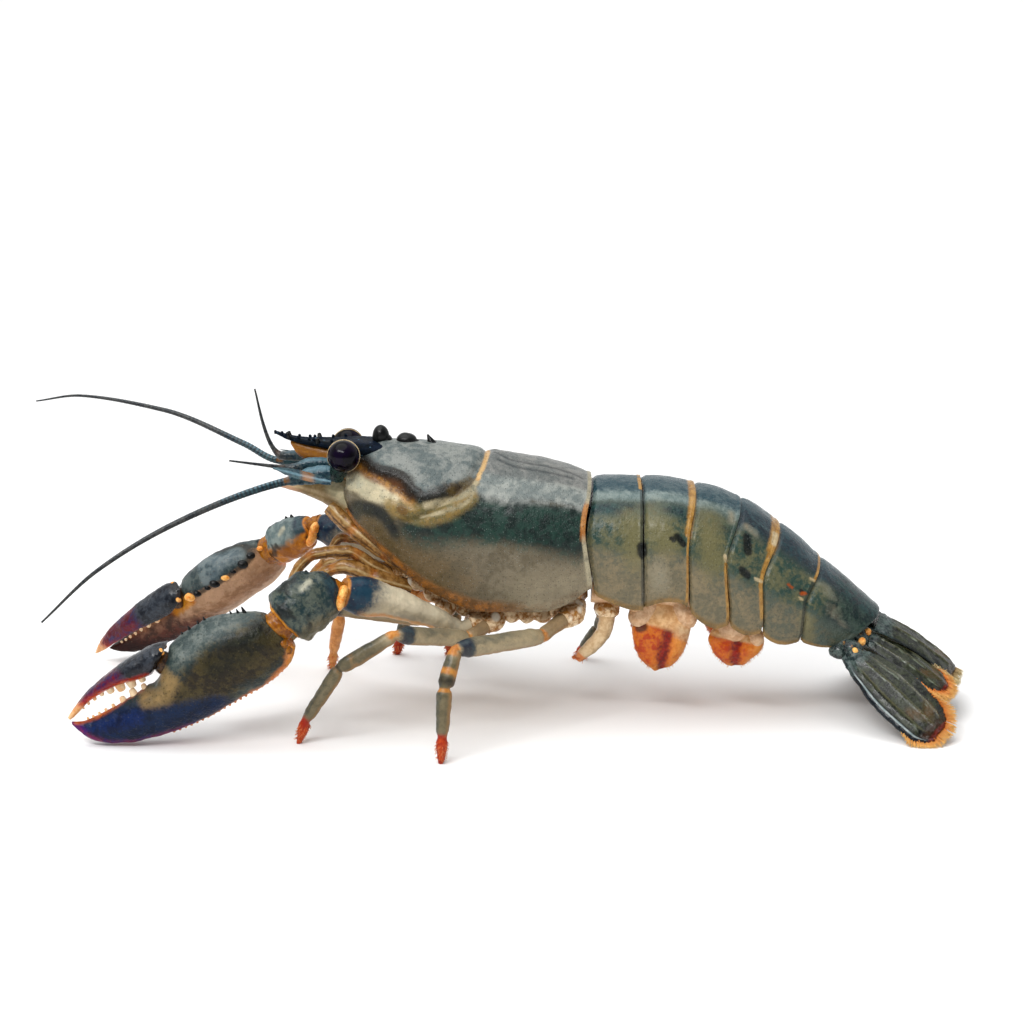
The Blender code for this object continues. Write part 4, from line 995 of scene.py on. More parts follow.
def make_claw(which, side, claw, palm_paint, looks):
    frame_of = claw_frame(claw, side)
    _, _, up, thick = frame_of
    stretch = claw[3]
    # The direction towards the side that the photo shows
    shown = -np.sign(thick[1])
    points, x, z, depth, paints = claw_grid(PALM, palm_paint, frame_of, 190, 96, 1.0)
    if side == FAR:
        ridge = np.interp(x, *zip(*FAR_RIDGE))
        paints["back"] = np.maximum(1 - smooth(-1.2, 0.2, depth * shown), smooth(-0.2, 0.9, z - ridge))
    swell = (lumps(points, 6.0, 0.3, 1.3, 0.07)
             + 0.22 * np.abs(rough(points, 0.8, 2)) * paints.get("granular", 0.0)
             - 0.45 * brush(x, z, *PALM_FURROW))
    pieces = [skin("palm_form", raised(points, swell), paints, looks["palm_" + which])]
    pieces += edge_cones(frame_of, PALM, PALM_TEETH, 1.0, looks["tooth"], 0.7)
    pieces += edge_cones(frame_of, PALM, PALM_SAW, -1.0, looks["saw_" + which], 0.4, column=0)
    if side == NEAR:
        pieces += edge_cones(frame_of, PALM, PALM_KNOBS, 1.0, looks["spine"], 0.25)
    else:
        out = thick * shown
        table = [row[2:] for row in PALM]
        for number, place in enumerate(FAR_KNOBS):
            top, half = follow(table, place)
            rise = float(np.interp(place, *zip(*FAR_RIDGE)))
            spread = math.sqrt(max(0.02, 1 - ((rise + 2.0) / (top + 2.0)) ** 2))
            foot = claw_place(frame_of, place, rise) + out * (half * spread * 0.86)
            size = 0.8 + 0.3 * (number % 3)
            look = looks["spine" if number % 4 else "orange_knob"]
            pieces.append(pebble(foot, (1.0 * size, 0.6 * size, 0.75 * size), look, out, 0.3, 16))
    dress("claw_palm_" + which, pieces, "claw_shell", "palm_" + which)

    points, _, _, _, paints = claw_grid(FINGER, FINGER_PAINT, frame_of, 120, 64, stretch)
    swell = lumps(points, 4.0, 0.18, 1.0, 0.07)
    pieces = [skin("finger_form", raised(points, swell), paints, looks["finger"])]
    pieces += edge_cones(frame_of, FINGER, FINGER_TEETH, -1.0, looks["tooth"], 0.7, stretch)
    dress("claw_finger_" + which, pieces, "claw_shell", "finger_" + which)
    pieces = []
    for place, radii, look, lumpy in (
            ((23.4, 5.9, 2.2), (0.55, 0.55, 0.8), "orange_knob", 0.2),
            ((24.6, 3.0, 0.0), (1.7, 2.4, 2.5), "dark_skin", 0.4),
            ((23.4, 5.9, -2.2), (0.55, 0.55, 0.8), "orange_knob", 0.2)):
        pieces.append(pebble(claw_place(frame_of, *place), radii, looks[look], up, lumpy))
    dress("claw_hinge_" + which, pieces, "claw_shell")


# Knobs of the elbow: place from its foot, radii, lean, lumps and sides
ELBOW_KNOBS = (
    ((0.0, 0.0, 0.0), (1.6, 1.0, 2.6), 0.22, 0.6, 28),
    ((0.5, 0.1, 1.5), (2.1, 1.0, 1.5), 0.3, 0.5, 28),
    ((-0.7, 0.2, -1.6), (1.1, 0.8, 1.2), 0.3, 0.4, 20),
)


def make_arm(which, side, arm, wrist, claw, looks):
    arm, wrist = sided(arm, side), sided(wrist, side)
    points, along, up = limb(arm, 110, 56)
    paints = {
        "navy": smooth(0.68, 0.94, along + 0.05 * rough(points, 3.0) + 0.04 * up),
        "gold": smooth(0.97, 0.99, along),
        "low": 1 - smooth(-0.85, -0.35, up),
        "pale": smooth(0.2, 0.5, along) * (1 - smooth(0.7, 0.85, along)) * smooth(-0.2, 0.6, up),
    }
    piece = skin("arm_form", raised(points, lumps(points, 4.0, 0.25, 1.2, 0.07)), paints, looks["arm"])
    dress("arm_of_" + which, [piece], "limb_shell", "arm_" + which)

    points, along, up = limb(wrist, 90, 64)
    high = smooth(-0.8, -0.2, up) if side == NEAR else smooth(-0.2, 0.45, up + 0.2 * rough(points, 3.0))
    paints = {
        "blue": 1 - smooth(0.12, 0.3, along),
        "gold": np.maximum(smooth(0.93, 0.99, along), 1 - smooth(0.0, 0.05, along)),
        "low": 1 - high,
        # A painted highlight: a short pale streak on the upper side of the wrist
        "pale": brush(along * 12, up * 4, ((4.6, 3.2), (6.4, 2.5)), 0.3, 0.4),
        "dark": smooth(0.1, 0.6, rough(points, 3.4)) * smooth(-0.9, -0.4, up),
    }
    facets = rough(points, 3.4, 2) * 0.6 + np.abs(rough(points, 1.1, 2)) * 0.2
    pieces = [skin("wrist_form", raised(points, facets), paints, looks["wrist_" + which])]
    x, y, z, tall, _ = wrist[2]
    for part, lean, size in ((0.35, 0.5, 0.9), (0.55, 0.9, 1.1), (0.75, 0.4, 0.8)):
        foot = (x + (part - 0.5) * 6.0, y + lean * 1.4, z + tall * 0.86)
        pieces.append(cone(foot, (-0.5, lean * 0.3, 1.0), 0.6 * size, 1.2 * size, looks["spine"], 0.3))
    dress("wrist_of_" + which, pieces, "claw_shell", "wrist_" + which)

    knee, arm_end = np.array(wrist[0][:3]), np.array(arm[-1][:3])
    rows = [(*(knee + (arm_end - knee) * 2.2), 2.2), (*arm_end, 2.2), (*knee, 2.0),
            (*(knee + (knee - arm_end) * 1.4), 2.4)]
    pieces = [soft_limb("knee_skin", rows, looks["gold_skin"], 24, 28, 1.5, 0.3)]
    low = knee + np.array((0.6, NEAR * 2.7, -1.0))
    for shift, radii, lean, lumpy, segments in ELBOW_KNOBS:
        pieces.append(pebble(low + np.array(shift), radii, looks["orange_knob"], (lean, 0.0, 1.0), lumpy,
                             segments))
    dress("elbow_knob_" + which, pieces, "skin")

    frame_of = claw_frame(claw, side)
    block_end, palm_start = np.array(wrist[-1][:3]), claw_place(frame_of, 0.6, 0.0)
    run = palm_start - block_end
    rows = [(*(block_end - run * 0.9), 3.0), (*block_end, 3.3), (*((block_end + palm_start) / 2), 3.4),
            (*palm_start, 3.2), (*(palm_start + run * 0.9), 2.8)]
    pieces = [soft_limb("wrist_skin", rows, looks["gold_skin"], 30, 40, 1.2, 0.3)]
    for rise, depth, size in ((-4.6, 1.4, 1.5), (-3.0, 2.8, 1.0)):
        pieces.append(pebble(claw_place(frame_of, 0.0, rise, depth), (size * 1.2, size * 0.8, size),
                             looks["gold_skin"], frame_of[2], 0.6))
    dress("wrist_joint_" + which, pieces, "skin")


# The legs that do not wear the common leg look, and how wide the small pale leg is at its joints
LEG_LOOKS = {"leg_left_4": "leg_cream", "leg_right_1": "leg_tan"}
PLUMP_RADII = (1.7, 1.75, 1.6, 1.5, 1.2, 0.7)
LEG_HAIRS = 90
HAIRY_LINK = (12, 15)     # the rows of a leg between which its bristles stand


def leg_rows(joints, scale):
    rows = []
    for start, end, radii in zip(joints, joints[1:], LEG_RADII):
        start, end = np.array(start), np.array(end)
        for part, radius in ((0.0, radii[0] * 0.82), (0.16, radii[0]), (0.84, radii[1])):
            rows.append((*(start + (end - start) * part), radius * scale))
    rows.append((*end, radii[1] * 0.7 * scale))
    return rows


def make_leg(name, side, scale, joints, looks):
    rows = sided(leg_rows(joints, scale), side)
    path = np.array(rows)[:, :3]
    reach = lengths(path)
    total = reach[-1]
    knees = reach[::3] / total
    points, along, up = limb(rows, 150, 28)
    link = np.interp(along, knees, range(6))

    def near_knee(number, half, shift=0.0):
        return stripe(along * total, knees[number] * total + shift, half, half * 0.7)

    banded = 0.9 if name == "leg_left_3" else 0.25
    paints = {
        "knee_orange": np.maximum(near_knee(2, 0.9, 0.5) * smooth(-1.0, 0.4, up), near_knee(1, 0.7) * 0.8),
        "knee_navy": near_knee(2, 1.5, -2.2),
        "band": banded * np.maximum(near_knee(3, 0.7, -3.4), near_knee(3, 0.35, 0.4)),
        "band_dark": banded * near_knee(3, 0.9, -1.3) + (1 - banded) * near_knee(3, 0.3),
        "streak": smooth(0.2, 0.8, up + 0.5 * rough(points, 3.0)) * smooth(1.0, 1.6, link),
        "root": 1 - smooth(0.6, 1.3, link),
        "shin": smooth(2.0, 2.4, link),
        "tip": smooth(3.86, 4.02, link),
        "low": 1 - smooth(-0.9, -0.2, up),
    }
    pinch = sum(near_knee(number, 0.5) for number in (1, 2, 3))
    points = raised(points, lumps(points, 2.2, 0.13, 0.7, 0.035) - 0.25 * pinch * scale)
    if path[:, 2].min() == 0.0:
        points[..., 2] = np.maximum(points[..., 2], 0.0)
        points[-1, :, 2] = 0.0
    if name == "leg_left_4":
        plump = [(*row[:3], radius) for row, radius in zip(rows[::3], PLUMP_RADII)]
        points, _, _ = limb(plump, 150, 28)
        points = raised(points, rough(points, 3.0, 2) * 0.3)
    pieces = [skin(name + "_form", points, paints, looks[LEG_LOOKS.get(name, "leg")])]

    # Bristles of the last link
    seed = np.random.default_rng(7 + len(name))
    part, across, over = seed.random((LEG_HAIRS, 3)).T[..., None]
    start, end = path[HAIRY_LINK[0]], path[HAIRY_LINK[1]]
    run = end - start
    aim = unit(np.hstack((across - 0.5, over - 0.5, part * 0.3 - 0.1)))
    radius = LEG_RADII[-1][0] * scale
    roots = start + run * (part * 0.9 + 0.02) + aim * radius * (0.75 - 0.3 * part)
    tips = roots + aim * 0.8 + unit(run) * 0.7
    tips[:, 2] = np.maximum(tips[:, 2], 0.05)
    pieces.append(hairs("setae", roots, tips, 0.09, looks["setae"]))
    dress(name.replace("leg", "walking_leg"), pieces, "limb_shell", name)


def make_limb_roots(which, side, arm, looks):
    """Basal knobs that join each limb of one side to the breast."""
    paths = []
    for _, leg_side, scale, joints in LEGS:
        if leg_side == side:
            root, first = on_side(joints[0], side), on_side(joints[1], side)
            inward = root * (1, 0.72, 1) + np.array((0.0, 0.0, 0.8))
            paths.append([(*inward, 2.6 * scale), (*root, 2.5 * scale),
                          (*(root + (first - root) * 0.35), 2.1 * scale)])
    start = on_side(arm[0][:3], side)
    paths.append([(*(start * (1, 0.6, 1) + np.array((0, 0, 1.0))), 2.8), (*start, 2.6),
                  (*(start + np.array((-2.0, side * 1.2, 0.0))), 2.2)])
    pieces = [soft_limb("root", rows, looks["belly"], 22, 26, 1.6, 0.35) for rows in paths]
    for x in np.arange(-20.0, 14.0, 3.3):
        low = float(follow(CARAPACE, x)[1])
        drop, half = follow(BREAST, x)
        pieces.append(pebble((x, side * half * 0.9, low - drop * 0.45), (2.3, 1.5, 2.3), looks["belly"],
                             (0.2, side * 0.3, -1.0), 0.5))
    dress("limb_roots_" + which, pieces, "skin")


LEAF_SPOTS = ((12.6, -1.8), (14.6, 0.4), (13.6, 2.8))
FRINGE_START = 0.7
FRINGE_HAIRS = 800


def make_leaf(name, leaf, widths, side, ribs, node, looks, rim=False):
    """A tail leaf: a thin domed plate with lengthwise ribs and a fringe of bristles."""
    foot, tip, width, scale, droop = leaf
    foot, tip, width = on_side(foot, side), on_side(tip, side), unit(on_side(width, side))
    run = tip - foot
    normal = unit(np.cross(run, width))
    if normal[2] < 0:
        normal = -normal
    part = np.concatenate((np.linspace(0, 0.9, 70)[:-1], np.linspace(0.9, 1.0, 24)))[:, None]
    angles = np.linspace(0, math.tau, 97)
    half = follow(widths, part[:, 0]) * scale
    thick = LEAF_HALF_THICK * (1.25 - 0.5 * part)
    across, over = np.cos(angles), np.sin(angles)
    ridge = ribs * (1 - across * across) ** 3
    lift = thick * over * (1 + ridge) - droop * across * across
    points = (foot + run * part[..., None] + normal * (LEAF_DOME * np.sin(math.pi * part))[..., None]
              + width * (half * across)[..., None] + normal * lift[..., None])
    fade = smooth(0.05, 0.25, part) * (1 - smooth(0.86, 1.0, part))
    lane = across * 6
    rib_lines = sum(stripe(lane, place * 6, 0.28, 0.25) for place in (-0.5, 0.0, 0.5))
    outer = smooth(0.76, 0.88, -across) * rim
    height = (0.3 * rib_lines * fade + 0.42 * outer * (over > 0) + rough(points, 2.4) * 0.16
              + 0.35 * np.abs(rough(points, 1.1, 2)) * (1 - smooth(0.1, 0.3, part)))
    paints = {
        "rib": np.clip(rib_lines, 0, 1) * fade,
        "rim": np.maximum(outer, smooth(0.9, 0.97, np.abs(across)) * 0.6),
        "base": 1 - smooth(0.08, 0.24, part),
        "end": smooth(0.86, 0.95, part),
        "fringe_root": smooth(0.955, 0.985, part) * (name != "tail_middle"),
        "spot": brush(part * 17, lane, LEAF_SPOTS, 1.0, 0.8),
        # A painted highlight along the raised outer rim of the outer leaves
        "line": stripe(lane, -5.3, 0.16, 0.16) * rim * fade * (over > 0.1),
        "shine": sum(stripe(lane, place, 0.14, 0.14) for place in (-3.4, -0.5, 2.2))
                 * smooth(-0.1, 0.3, rough(points, 3.0)) * fade * (over > 0),
    }
    pieces = [skin(name + "_form", raised(points, height), paints, looks["fan"])]

    # The fringe follows the outline of the leaf's end, from one long edge round to the other
    seed = np.random.default_rng(len(name))
    at = np.linspace(FRINGE_START, 1.0, 60)
    half_at = follow(widths, at)[..., 0] * scale
    size = np.linalg.norm(run)
    end = np.linspace(-half_at[-1], half_at[-1], 22)[1:-1]
    outline = np.column_stack((np.concatenate((at * size, np.full(20, size), at[::-1] * size)),
                               np.concatenate((-half_at, end, half_at[::-1]))))
    reach = lengths(outline)
    spots = np.sort(seed.random(FRINGE_HAIRS)) * reach[-1]

    def on_outline(spots):
        return np.column_stack([np.interp(spots, reach, column) for column in outline.T])

    lengthwise, sideways = on_outline(spots).T
    turn = unit(on_outline(spots + 0.2) - on_outline(spots - 0.2) + 1e-9)
    inner = 0.97 - 0.07 * seed.random(FRINGE_HAIRS)
    half_here = follow(widths, lengthwise / size)[..., 0] * scale
    lift = (LEAF_DOME * np.sin(math.pi * lengthwise / size) - droop * (sideways / half_here) ** 2
            + seed.normal(0, 0.16, FRINGE_HAIRS))
    roots = (foot + unit(run) * (lengthwise * 0.985)[:, None]
             + width * (sideways * inner)[:, None] + normal * lift[:, None])
    aim = (unit(run) * (turn[:, 1:] + 0.55) + width * -turn[:, :1]
           + seed.normal(0, 0.14, (FRINGE_HAIRS, 3)))
    fade = np.clip(spots / 5.0, 0.15, 1) * np.clip((reach[-1] - spots) / 5.0, 0.15, 1)
    tips = roots + unit(aim) * ((1.9 + 1.3 * seed.random(FRINGE_HAIRS)) * fade)[:, None]
    tips[:, 2] = np.maximum(tips[:, 2], 0.1)
    look = looks["pale_fringe" if name == "tail_middle" else "fringe"]
    pieces.append(hairs("fringe", roots, tips, 0.1, look))
    dress(name, pieces, "fan", node)


# Knobs at the foot of the tail fan: x, distance from the midline, z and size
TAIL_KNOBS = ((73.0, 6.4, 17.0, 2.6), (74.8, 8.6, 15.6, 2.1), (76.6, 5.8, 17.6, 2.0), (72.2, 8.4, 15.0, 1.6))
TAIL_BEADS = ((75.4, 10.8, 15.6), (77.2, 8.0, 17.0), (78.6, 6.2, 18.6))


def make_tail(looks):
    make_leaf("tail_middle", TELSON, TELSON_WIDTHS, FAR, 0.5, "telson", looks)
    for which, side in SIDES:
        for leaf, place in ((OUTER_LEAF, "outer"), (INNER_LEAF, "inner")):
            make_leaf(f"tail_{place}_{which}", leaf, LEAF_WIDTHS, side, 0.7, f"{place}_leaf_{which}", looks,
                      place == "outer")
        pieces = []
        for x, y, z, size in TAIL_KNOBS:
            pieces.append(pebble((x, y * side, z), (size, size, size * 1.3), looks["tail_knob"],
                                 (1.0, side * 0.6, -0.5), 0.9, 28))
        for x, y, z in TAIL_BEADS:
            pieces.append(pebble((x, y * side, z), (0.8, 0.8, 0.9), looks["orange_knob"], lumpy=0.3))
        dress("tail_base_" + which, pieces, "fan")


LOBE_HAIRS = 70
# Flat pointed skins that hang under the rings and carry the lobes: x and z of the peak and of the
# low end, and half width
BELLY_FOLDS = (
    ((33.4, 27.6), (30.2, 22.6), 2.6), ((37.4, 27.4), (39.6, 22.8), 2.2), ((42.2, 25.6), (40.6, 22.4), 1.6),
    ((50.4, 25.0), (49.8, 19.4), 3.2), ((53.6, 20.4), (54.6, 18.2), 1.8), ((26.0, 27.6), (29.4, 25.4), 1.8))
# Skin along the belly: x, distance from the midline, z, half height and half width
BELLY = ((20.0, 5.4, 27.8, 2.8, 4.4), (32.0, 5.6, 27.0, 2.4, 4.6), (46.0, 5.4, 24.8, 2.4, 4.4),
         (60.0, 4.8, 20.8, 2.2, 4.0), (71.0, 3.6, 18.0, 2.0, 3.0))


def make_swimmeret(place, rows, which, side, looks):
    table = [(-row[0], *row[1:]) for row in rows]
    top, foot = rows[0][0], rows[-1][0]
    z = np.linspace(top, foot, 90)[:, None]
    middle, long_half, thick = follow(table, -z[:, 0]).T[..., None]
    angles = np.linspace(0, math.tau, 73)
    notch = 1.0 - 0.18 * np.maximum(0.0, np.cos(angles + math.pi / 2)) ** 4
    x = middle + long_half * np.cos(angles)
    y = side * (SWIMMERET_Y - thick * np.sin(angles) * notch)
    z = z + 0 * x
    points = np.stack((x, y, z), axis=-1)
    level = (z - foot) / (top - foot)
    across = (x - middle) / rows[2][2]

    def stroke(line, half, soft):
        """A stroke whose line is measured from the middle of the foot."""
        return brush(x, z, [(middle[0, 0] + u, foot + v) for u, v in line], half, soft)

    fold = stroke(((1.4, 9.6), (-0.2, 3.4), (0.2, -1.0)), 1.0, 1.0)
    paints = {
        "cream": smooth(0.56, 0.66, level + across * 0.1),
        "cream_side": stroke(((3.6, 9.2), (5.6, 8.0)), 1.4, 1.2),
        "fold": fold,
        "rim": 1 - smooth(0.0, 0.2, np.minimum(level + 0.02, 1.06 - np.abs(across))),
        "gold_side": smooth(0.1, 0.6, across) * (1 - smooth(0.5, 0.62, level)),
        "dark": stroke(((-5.0, 9.8), (-4.0, 10.2)), 0.8, 0.4) * (place == "front"),
    }
    relief = lumps(points, 3.0, 0.2, 0.9, 0.06) - 0.8 * fold
    pieces = [skin("lobe_form", raised(points, relief), paints, looks["lobe"])]
    seed = np.random.default_rng(3 + len(place))
    edge_z = foot + (top - foot) * (0.02 + 0.5 * seed.random(LOBE_HAIRS))
    centre, half_at, _ = follow(table, -edge_z).T
    way = np.where(seed.random(LOBE_HAIRS) > 0.5, 1.0, -1.0)
    roots = np.column_stack((centre + way * half_at * 0.96, np.full(LOBE_HAIRS, side * SWIMMERET_Y), edge_z))
    tips = roots + np.column_stack((way * 0.35, seed.normal(0, 0.1, LOBE_HAIRS),
                                    -0.4 - 0.25 * seed.random(LOBE_HAIRS)))
    pieces.append(hairs("lobe_hair", roots, tips, 0.06, looks["fringe"]))
    dress(f"swimmeret_{place}_of_{which}", pieces, "lobe", f"swimmeret_{place}_{which}")


def make_belly(which, side, looks):
    make_swimmeret("front", SWIMMERET_FRONT, which, side, looks)
    make_swimmeret("rear", SWIMMERET_REAR, which, side, looks)
    pieces = []
    for (x, z), (low_x, low_z), half in BELLY_FOLDS:
        rows = [(x, 8.6, z, 0.5, 0.7), ((x + low_x) / 2, 8.9, (z + low_z) / 2, half * 0.8, 1.6),
                (low_x, 8.8, low_z, half, 2.0), (low_x, 8.6, low_z - 1.6, half * 0.7, 1.4)]
        pieces.append(soft_limb("fold", sided(rows, side), looks["cream_skin"], 30, 30, 3.0, 0.12))
    points, along, _ = limb(sided(BELLY, side), 80, 40)
    relief = rough(points, 3.4) * 0.16 + 0.1 * np.sin(along * 36)
    pieces.append(skin("belly", raised(points, relief), {}, looks["cream_skin"]))
    dress("belly_skin_" + which, pieces, "lobe")


# Outline of the feeler scale: part of its length and part of its half width
SCALE_OUTLINE = ((0.0, 0.5), (0.2, 0.9), (0.6, 1.0), (0.85, 0.6), (1.0, 0.1))
# Feelers: rows, side, the part of the length that is a thick stem, and rings of points
FEELERS = {
    "long_feeler_left": (LONG_FEELER_NEAR, NEAR, 0.16, 420),
    "long_feeler_right": (LONG_FEELER_FAR, FAR, 0.19, 420),
    "short_feeler_left": (SHORT_FEELER_NEAR, NEAR, 0.55, 160),
    "short_feeler_right": (SHORT_FEELER_FAR, FAR, 0.5, 160),
}
# Mouth limbs and strands of mouth skin: rows, side and, where there is one, the solid it stands for
MOUTH_LIMBS = {
    "jaw_limb_left": (MOUTH_LIMB_NEAR, NEAR, "mouth_limb_left"),
    "jaw_limb_right": (MOUTH_LIMB_FAR, FAR, "mouth_limb_right"),
    "jaw_skin_upper": (((-16.0, 8.6, 31.4, 1.3), (-22.0, 8.6, 35.4, 1.5), (-27.0, 7.6, 39.0, 1.7),
                        (-31.4, 5.6, 42.2, 2.0), (-35.0, 4.0, 45.4, 1.8)), NEAR),
    "jaw_palp_low": (((-18.0, 7.0, 28.6, 1.6), (-25.0, 7.8, 30.8, 1.9), (-32.0, 7.6, 33.2, 1.6),
                      (-37.0, 7.2, 31.2, 1.2), (-39.0, 6.8, 27.6, 0.7)), NEAR),
    "jaw_palp_far": (((-20.0, 6.2, 32.0, 1.3), (-28.0, 6.4, 35.6, 1.3), (-33.4, 6.0, 36.0, 1.1),
                      (-36.4, 5.8, 32.4, 0.6)), FAR),
}


def make_eye(which, side, looks):
    centre = on_side(EYE_CENTRE, side)
    if side == FAR:
        centre[2] -= FAR_EYE_DROP
    foot = on_side(STALK_FOOT, side)
    ball = pebble(centre, (EYE_RADIUS, EYE_RADIUS, EYE_RADIUS * 0.96), looks["eye"], (0, 1, 0), segments=64)
    choose()
    bpy.ops.mesh.primitive_torus_add(
        major_segments=72, minor_segments=12, major_radius=EYE_RADIUS * MM, minor_radius=0.12 * MM,
        location=spot_of(*(centre - np.array((0.0, side * 0.3, 0.0)))),
        rotation=(math.radians(90 + 8 * side), 0, 0))
    cup = settled(bpy.context.object, looks["eye_cup"])
    bpy.ops.object.shade_smooth()
    rows = [(*(foot + (centre - foot) * part), radius)
            for part, radius in ((0.0, 1.6), (0.4, 1.9), (0.85, 2.4))]
    stalk = soft_limb("stalk", rows, looks["stalk"], 24, 30, 1.2, 0.15)
    dress("eye_of_" + which, [ball, cup, stalk], "eye", "eye_" + which)


def make_feeler_scale(which, side, looks):
    foot = on_side(SCALE_FOOT, side)
    run = on_side(SCALE_TIP, side) - foot
    width = unit(np.array((0.1, side, -0.45)))
    normal = unit(np.cross(run, width))
    part = np.linspace(0, 1, 40)[:, None]
    angles = np.linspace(0, math.tau, 37)
    half = SCALE_HALF * follow(SCALE_OUTLINE, part[:, 0])
    points = (foot + run * part[..., None] + width * (half * np.cos(angles))[..., None]
              + normal * (0.35 * np.sin(angles) * (1.3 - part))[..., None])
    # The pale stripe along the feeler scale is a painted highlight
    paints = {"orange": stripe(part * 10, 4.0, 1.0, 0.8), "pale": stripe(np.cos(angles) * 2, 0.5, 0.5, 0.4)}
    piece = skin("feeler_blade", raised(points, rough(points, 1.4) * 0.12), paints, looks["feeler"])
    dress("feeler_scale_of_" + which, [piece], "feeler", "feeler_scale_" + which)


def make_feeler(name, rows, side, stem, count, looks):
    rows = sided(rows, side)
    total = lengths(np.array(rows)[:, :3])[-1]
    points, along, up = limb(rows, count, 20, 1.3)
    beads = 0.5 + 0.5 * np.cos(along * total * math.tau / 0.9)
    links = np.abs(np.sin(along / stem * math.pi * 1.5)) ** 0.35
    past = smooth(stem * 0.9, stem, along)
    relief = ((1 - past) * (0.3 * links - 0.25 + rough(points, 1.2) * 0.16)
              + past * beads * 0.05 * (1 - along * 0.8))
    paints = {
        "segment": (1 - beads) * past,
        "orange": stripe(along * total, stem * total * 0.97, 0.7, 0.5) * smooth(-0.6, 0.2, up),
        # The upper side lighter: a painted highlight
        "pale": smooth(0.25, 0.85, up) * 0.8,
        "grey": smooth(0.2, 0.5, along),
    }
    piece = skin(name + "_form", raised(points, relief), paints, looks["feeler"])
    dress(name.replace("feeler", "whip"), [piece], "feeler", name)


def make_mouth_limb(name, rows, side, nodes, looks):
    points, along, up = limb(sided(rows, side), 90, 28)
    joints = sum(stripe(along * 20, part * 20, 0.6, 0.6) for part in (0.36, 0.7))
    waves = up * 3 + rough(points, 3.0) * 0.6
    paints = {"stripe": stripe(waves, 0.6, 0.4, 0.3), "dark": stripe(waves, -1.3, 0.35, 0.3), "joint": joints}
    relief = rough(points, 2.4) * 0.2 - 0.15 * joints
    piece = skin("palp", raised(points, relief), paints, looks["mouth_limb"])
    dress(name, [piece], "skin", *nodes)


def make_head(looks):
    for which, side in SIDES:
        make_eye(which, side, looks)
        make_feeler_scale(which, side, looks)
    for name, (rows, side, stem, count) in FEELERS.items():
        make_feeler(name, rows, side, stem, count, looks)

    points, along, up = bar(MOUTH, 80, 48, 0.85)
    lip = ((-44.0, 49.8), (-38.0, 48.6), (-33.0, 47.2))
    paints = {
        "pink": 1 - smooth(0.1, 0.4, along),
        "stripe": brush(points[..., 0], points[..., 2], lip, 0.35, 0.4),
        "dark": smooth(0.2, 0.8, up) * 0.6,
        "cheek": smooth(0.55, 0.8, along) * smooth(-0.2, 0.3, up + 0.2 * rough(points, 3.0)),
    }
    dress("chin_plate", [skin("chin", worn(points), paints, looks["chin"])], "skin", "mouth")
    points, _, up = bar(BROW, 60, 40, 0.9)
    brow = skin("brow", worn(points), {"up": up * 0.5 + 0.5}, looks["brow"])
    dress("brow_under_rostrum", [brow], "skin")
    for name, (rows, side, *nodes) in MOUTH_LIMBS.items():
        make_mouth_limb(name, rows, side, nodes, looks)


